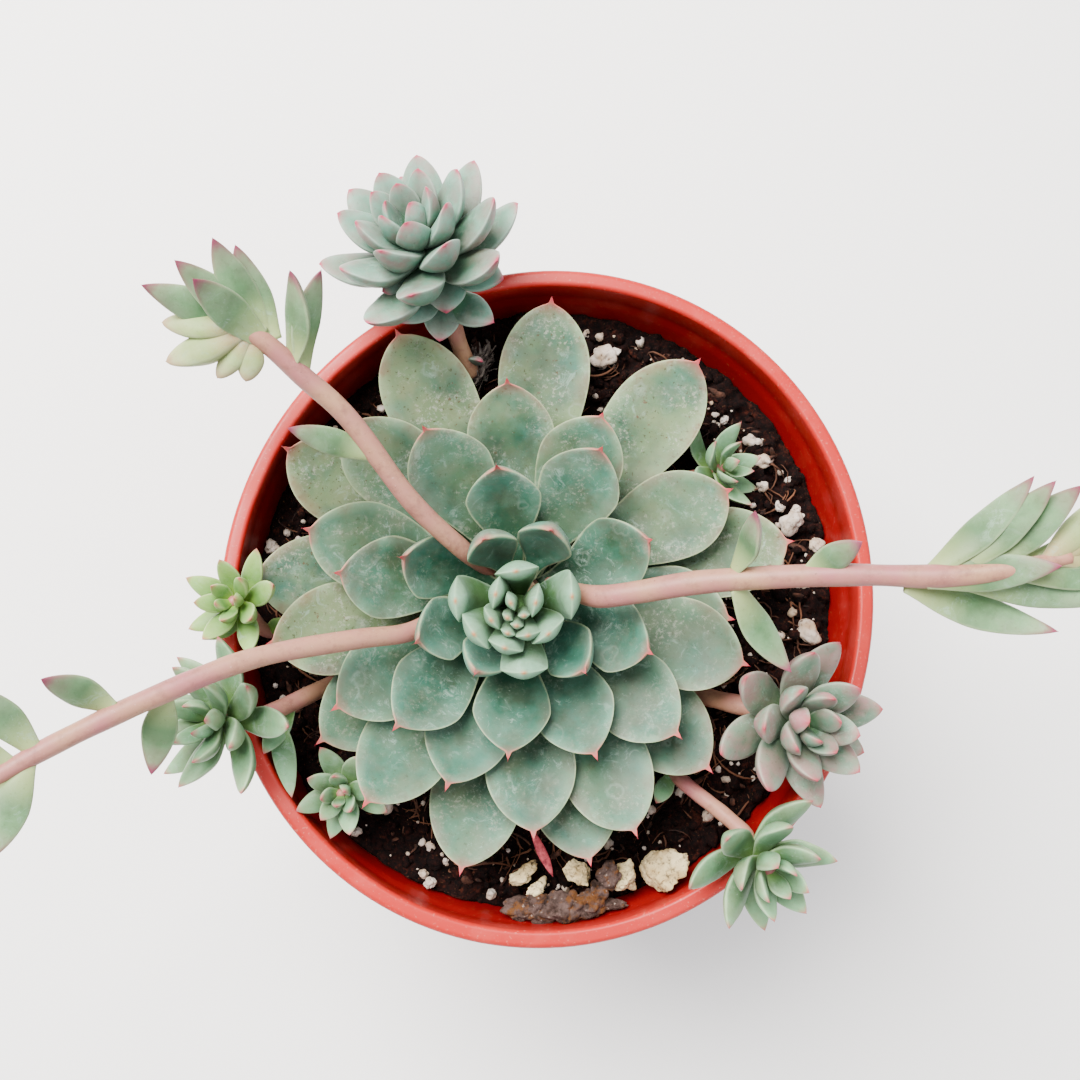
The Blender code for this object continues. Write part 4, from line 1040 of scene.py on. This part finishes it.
def side_rosette(
    side, path, radii, crown, axis, count, longest, half, depth, turn, skin, age, blunt, extra=(),
):
    """A small rosette: leaf i points at turn + i golden angles round the axis and opens 12 to 80 degrees.

    path and radii are the stem's, crown is where its leaves meet, and blunt is how blunt they end,
    with their broadest place further out. extra holds single leaves on the stem: base, tip, the way
    the face looks, half the width, and the depth.
    """
    axis = np.asarray(axis, dtype=float) / np.linalg.norm(axis)
    crown = np.asarray(crown, dtype=float)
    across = np.cross(axis, (0.2, 1.0, 0.1))
    across /= np.linalg.norm(across)
    other = np.cross(axis, across)
    shells = []
    for i in range(count):
        share = (i + 0.6) / count
        spin = turn + i * GOLDEN_ANGLE
        out = across * np.cos(spin) + other * np.sin(spin)
        opening = np.radians(12 + 68 * share ** 0.85)
        length = longest * (0.42 + 0.58 * min(share * 1.35, 1.0))
        direction = axis * np.cos(opening) + out * np.sin(opening)
        base = crown - axis * (longest * (0.12 + 0.42 * share)) + out * 0.3
        face = axis * np.sin(opening) - out * np.cos(opening)
        width = half * (0.55 + 0.45 * min(share * 1.6, 1.0))
        deep = depth * width / half
        shells.append(plump_leaf(
            base, base + direction * length, face, width, deep, 0.09, age * share, (0.37 * i) % 1,
            taper=0.92 - 0.32 * blunt, broad=0.46 + 0.16 * blunt,
        ))
    for base, tip, face, width, deep in extra:
        shells.append(plump_leaf(base, tip, face, width, deep, 0.08, 0.0, 0.5, taper=0.9))
    grow_leaves(f"side_rosette_{side}", f"offset_{side}", shells, side_skins[skin])
    path = [*path, crown - axis * longest * 0.56, crown - axis * longest * 0.1]
    radii = (*radii, radii[-1], radii[-1] * 0.7)
    grow_stem(f"side_stem_{side}", f"offset_{side}", path, radii, 12, 24, 5.0, 0.04, 301)


side_rosette(
    "back", ((-14.6, 48.0, 97.0), (-17.4, 53.4, 103.5), (-18.8, 58.0, 108.8), (-20.2, 61.5, 111.5)),
    radii=(1.7, 1.7, 1.8, 1.9), crown=(-26.4, 70.2, 121.6), axis=(-0.33, 0.42, 0.85),
    count=26, longest=20.0, half=4.7, depth=3.8, turn=0.4, skin="blue", age=0.25, blunt=0.9,
    extra=(
        ((-15.0, 49.5, 98.0), (-12.6, 48.6, 104.5), (0.0, -1.0, 0.4), 1.6, 1.2),
        ((-20.4, 62.2, 110.6), (-28.6, 53.8, 112.4), (0.2, 0.3, 1.0), 3.6, 3.2),
        ((-20.0, 60.6, 109.8), (-20.8, 50.6, 111.6), (0.0, 0.3, 1.0), 3.7, 3.2),
        ((-19.4, 60.4, 110.2), (-10.4, 54.2, 112.2), (-0.2, 0.3, 1.0), 3.6, 3.2),
        ((-20.2, 64.5, 114.2), (-19.4, 54.8, 116.0), (0.0, 0.3, 1.0), 4.2, 3.6),
        ((-19.2, 65.0, 114.4), (-8.8, 61.0, 118.0), (-0.3, 0.2, 1.0), 4.0, 3.5),
        ((-21.4, 65.0, 114.4), (-31.5, 58.4, 117.0), (0.3, 0.2, 1.0), 4.0, 3.5),
    ),
)
side_rosette(
    "right", ((27.0, -15.4, 96.8), (32.6, -17.2, 101.0), (38.4, -18.8, 106.0)),
    radii=(1.7, 1.8, 1.9), crown=(47.4, -22.0, 119.0), axis=(0.29, -0.14, 0.95),
    count=20, longest=17.0, half=3.9, depth=3.6, turn=1.3, skin="mauve", age=0.4, blunt=0.7,
)
side_rosette(
    "front_right", ((24.4, -30.8, 96.6), (29.0, -35.0, 101.0), (33.7, -39.0, 105.6), (37.0, -42.4, 109.0)),
    radii=(1.4, 1.5, 1.5, 1.6), crown=(41.0, -49.2, 115.4), axis=(0.34, -0.46, 0.82),
    count=16, longest=15.0, half=3.2, depth=2.6, turn=2.2, skin="green", age=0.1, blunt=0.3,
    extra=(((25.6, -31.8, 98.0), (21.4, -37.2, 102.6), (0.2, 0.4, 1.0), 1.9, 1.4),),
)
side_rosette(
    "left", ((-47.6, -3.4, 96.6), (-53.4, -4.4, 103.0)),
    radii=(1.2, 1.3), crown=(-58.1, 0.4, 116.4), axis=(-0.27, 0.05, 0.96),
    count=14, longest=10.5, half=2.2, depth=2.2, turn=0.9, skin="lime", age=0.1, blunt=0.4,
    extra=(
        ((-53.4, -4.8, 103.0), (-48.9, -2.6, 106.6), (0.3, -0.2, 1.0), 1.6, 1.6),
        ((-56.6, -2.4, 109.0), (-63.4, -6.4, 111.4), (0.1, -0.2, 1.0), 1.8, 1.8),
    ),
)
side_rosette(
    "front_left", ((-41.0, -14.2, 96.8), (-48.0, -18.0, 102.6), (-54.4, -21.0, 108.2)),
    radii=(1.7, 1.7, 1.7), crown=(-62.0, -21.4, 117.0), axis=(-0.52, -0.06, 0.85),
    count=18, longest=16.0, half=2.9, depth=2.8, turn=2.6, skin="green", age=0.15, blunt=0.3,
    extra=(
        ((-48.2, -18.0, 102.6), (-52.4, -27.4, 108.6), (0.2, 0.3, 1.0), 2.3, 2.0),
        ((-50.8, -20.0, 105.0), (-47.2, -35.4, 107.4), (0.1, 0.1, 1.0), 2.2, 1.8),
    ),
)
side_rosette(
    "front", ((-28.6, -30.0, 95.6), (-33.0, -32.2, 98.6)),
    radii=(1.1, 1.2), crown=(-38.4, -35.0, 108.0), axis=(-0.14, -0.18, 0.97),
    count=14, longest=9.4, half=2.2, depth=2.0, turn=1.7, skin="green", age=0.1, blunt=0.3,
)
side_rosette(
    "right_back", ((24.0, 25.0, 94.6), (26.0, 26.6, 96.0)),
    radii=(1.2, 1.2), crown=(37.6, 29.0, 101.8), axis=(0.62, 0.10, 0.77),
    count=11, longest=11.6, half=2.5, depth=1.6, turn=0.2, skin="green", age=0.0, blunt=0.0,
)

# ---------------------------------------------------------------------------
# Dead matter on the soil: a red dried scale leaf, and a hairy grey root that
# has come up behind the rosette.

# The scale: papery and wrinkled, wine red with paler ribs.
dry_skin = layered_material("dried_leaf_skin", 0.7, 0.3, "5e101e", (
    ("b04850", ((1.4, 4.0, 0.7), 0.38, 0.66)),
), ((0.9, 4.0, 0.7), 0.8, 0.3))
dry_shell = plump_leaf(
    (-2.2, -42.6, 98.6), (1.9, -51.4, 98.4), (0.3, 0.1, 1.0), 1.0, 0.7, 0.0, 0.0, 0.5, taper=0.9,
)
grow_leaves("dry_scale_leaf", "dry_scale", [dry_shell], dry_skin)

# The root: a tuft of dry grey strands, brown where the mix still clings to them.
ROOT_STRANDS = 90
root_skin = layered_material("dried_root", 0.85, 0.3, "2e2523", (
    ("847a72", ((1.6, 4.0, 0.7), 0.38, 0.66)),
))
root_dice = np.random.default_rng(81)
root_paths = []
s = np.linspace(0, 1, 10)[:, None]
for _ in range(ROOT_STRANDS):
    start = np.array([-14.5, 47.0, 95.4]) + PLANT_SHIFT + root_dice.normal(0, (0.8, 1.0, 0.5))
    end = start + (root_dice.uniform(-1.5, 4.5), root_dice.uniform(1.5, 7.0), root_dice.uniform(0.4, 3.6))
    bow = root_dice.normal(0, 0.9, 3) * (4 * s * (1 - s))
    root_paths.append(start * (1 - s) + end * s + bow)
hairy_root = threads("hairy_root", root_paths, root_dice.uniform(0.12, 0.42, ROOT_STRANDS), 6, root_skin)
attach(hairy_root, "root")

# ---------------------------------------------------------------------------
# The stage: a pale floor, soft daylight from large windows, and the camera.

# White matt paint, all but even.
FLOOR_HALF = 3000.0
floor_paint = layered_material("white_floor", 0.7, 0.2, "f0f0f0", (
    ("f6f6f6", ((400.0, 2.0), 0.0, 1.0)),
))
floor_height = cad_low[2] / MM
floor_corners = [
    (-FLOOR_HALF, -FLOOR_HALF, floor_height), (FLOOR_HALF, -FLOOR_HALF, floor_height),
    (FLOOR_HALF, FLOOR_HALF, floor_height), (-FLOOR_HALF, FLOOR_HALF, floor_height),
]
floor = mesh_object("floor", floor_corners, [(0, 1, 2, 3)], [], floor_paint)


def area_light(name, place, target, size, power, color):
    """A square soft light of size millimetres at place, facing target."""
    light = bpy.data.lights.new(name, "AREA")
    light.size = size * MM
    light.energy = power
    light.color = linear(color)[:3]
    made = bpy.data.objects.new(name, light)
    bpy.context.scene.collection.objects.link(made)
    made.location = np.array(place) * MM
    facing = Vector(np.array(target, dtype=float) - np.array(place))
    made.rotation_euler = facing.to_track_quat("-Z", "Y").to_euler()


area_light("window", (-380.0, 420.0, 900.0), (0.0, 0.0, 110.0), 650.0, 50.0, "fffaf4")
area_light("sky_fill", (500.0, -300.0, 900.0), (0.0, 0.0, 110.0), 900.0, 5.0, "f4f8ff")

world = bpy.data.worlds.new("studio")
bpy.context.scene.world = world
world.use_nodes = True
daylight = world.node_tree.nodes["Background"]
daylight.inputs["Color"].default_value = linear("ffffff")
daylight.inputs["Strength"].default_value = 1.0

camera = bpy.data.objects.new("camera", bpy.data.cameras.new("camera"))
bpy.context.scene.collection.objects.link(camera)
camera.data.sensor_width = 36.0
camera.data.lens = 41.67
camera.data.clip_start = 0.01
CAMERA_PLACE = Vector((-17.8, -18.5, 345.0))
CAMERA_AIM = Vector((0.0642, 0.1238, -1.0)).normalized()
camera_right = CAMERA_AIM.cross(Vector((0.0, 1.0, 0.0))).normalized()
camera_up = camera_right.cross(CAMERA_AIM)
camera_turn = Matrix((camera_right, camera_up, -CAMERA_AIM)).transposed()
camera.matrix_world = Matrix.Translation(CAMERA_PLACE * MM) @ camera_turn.to_4x4()
bpy.context.scene.camera = camera
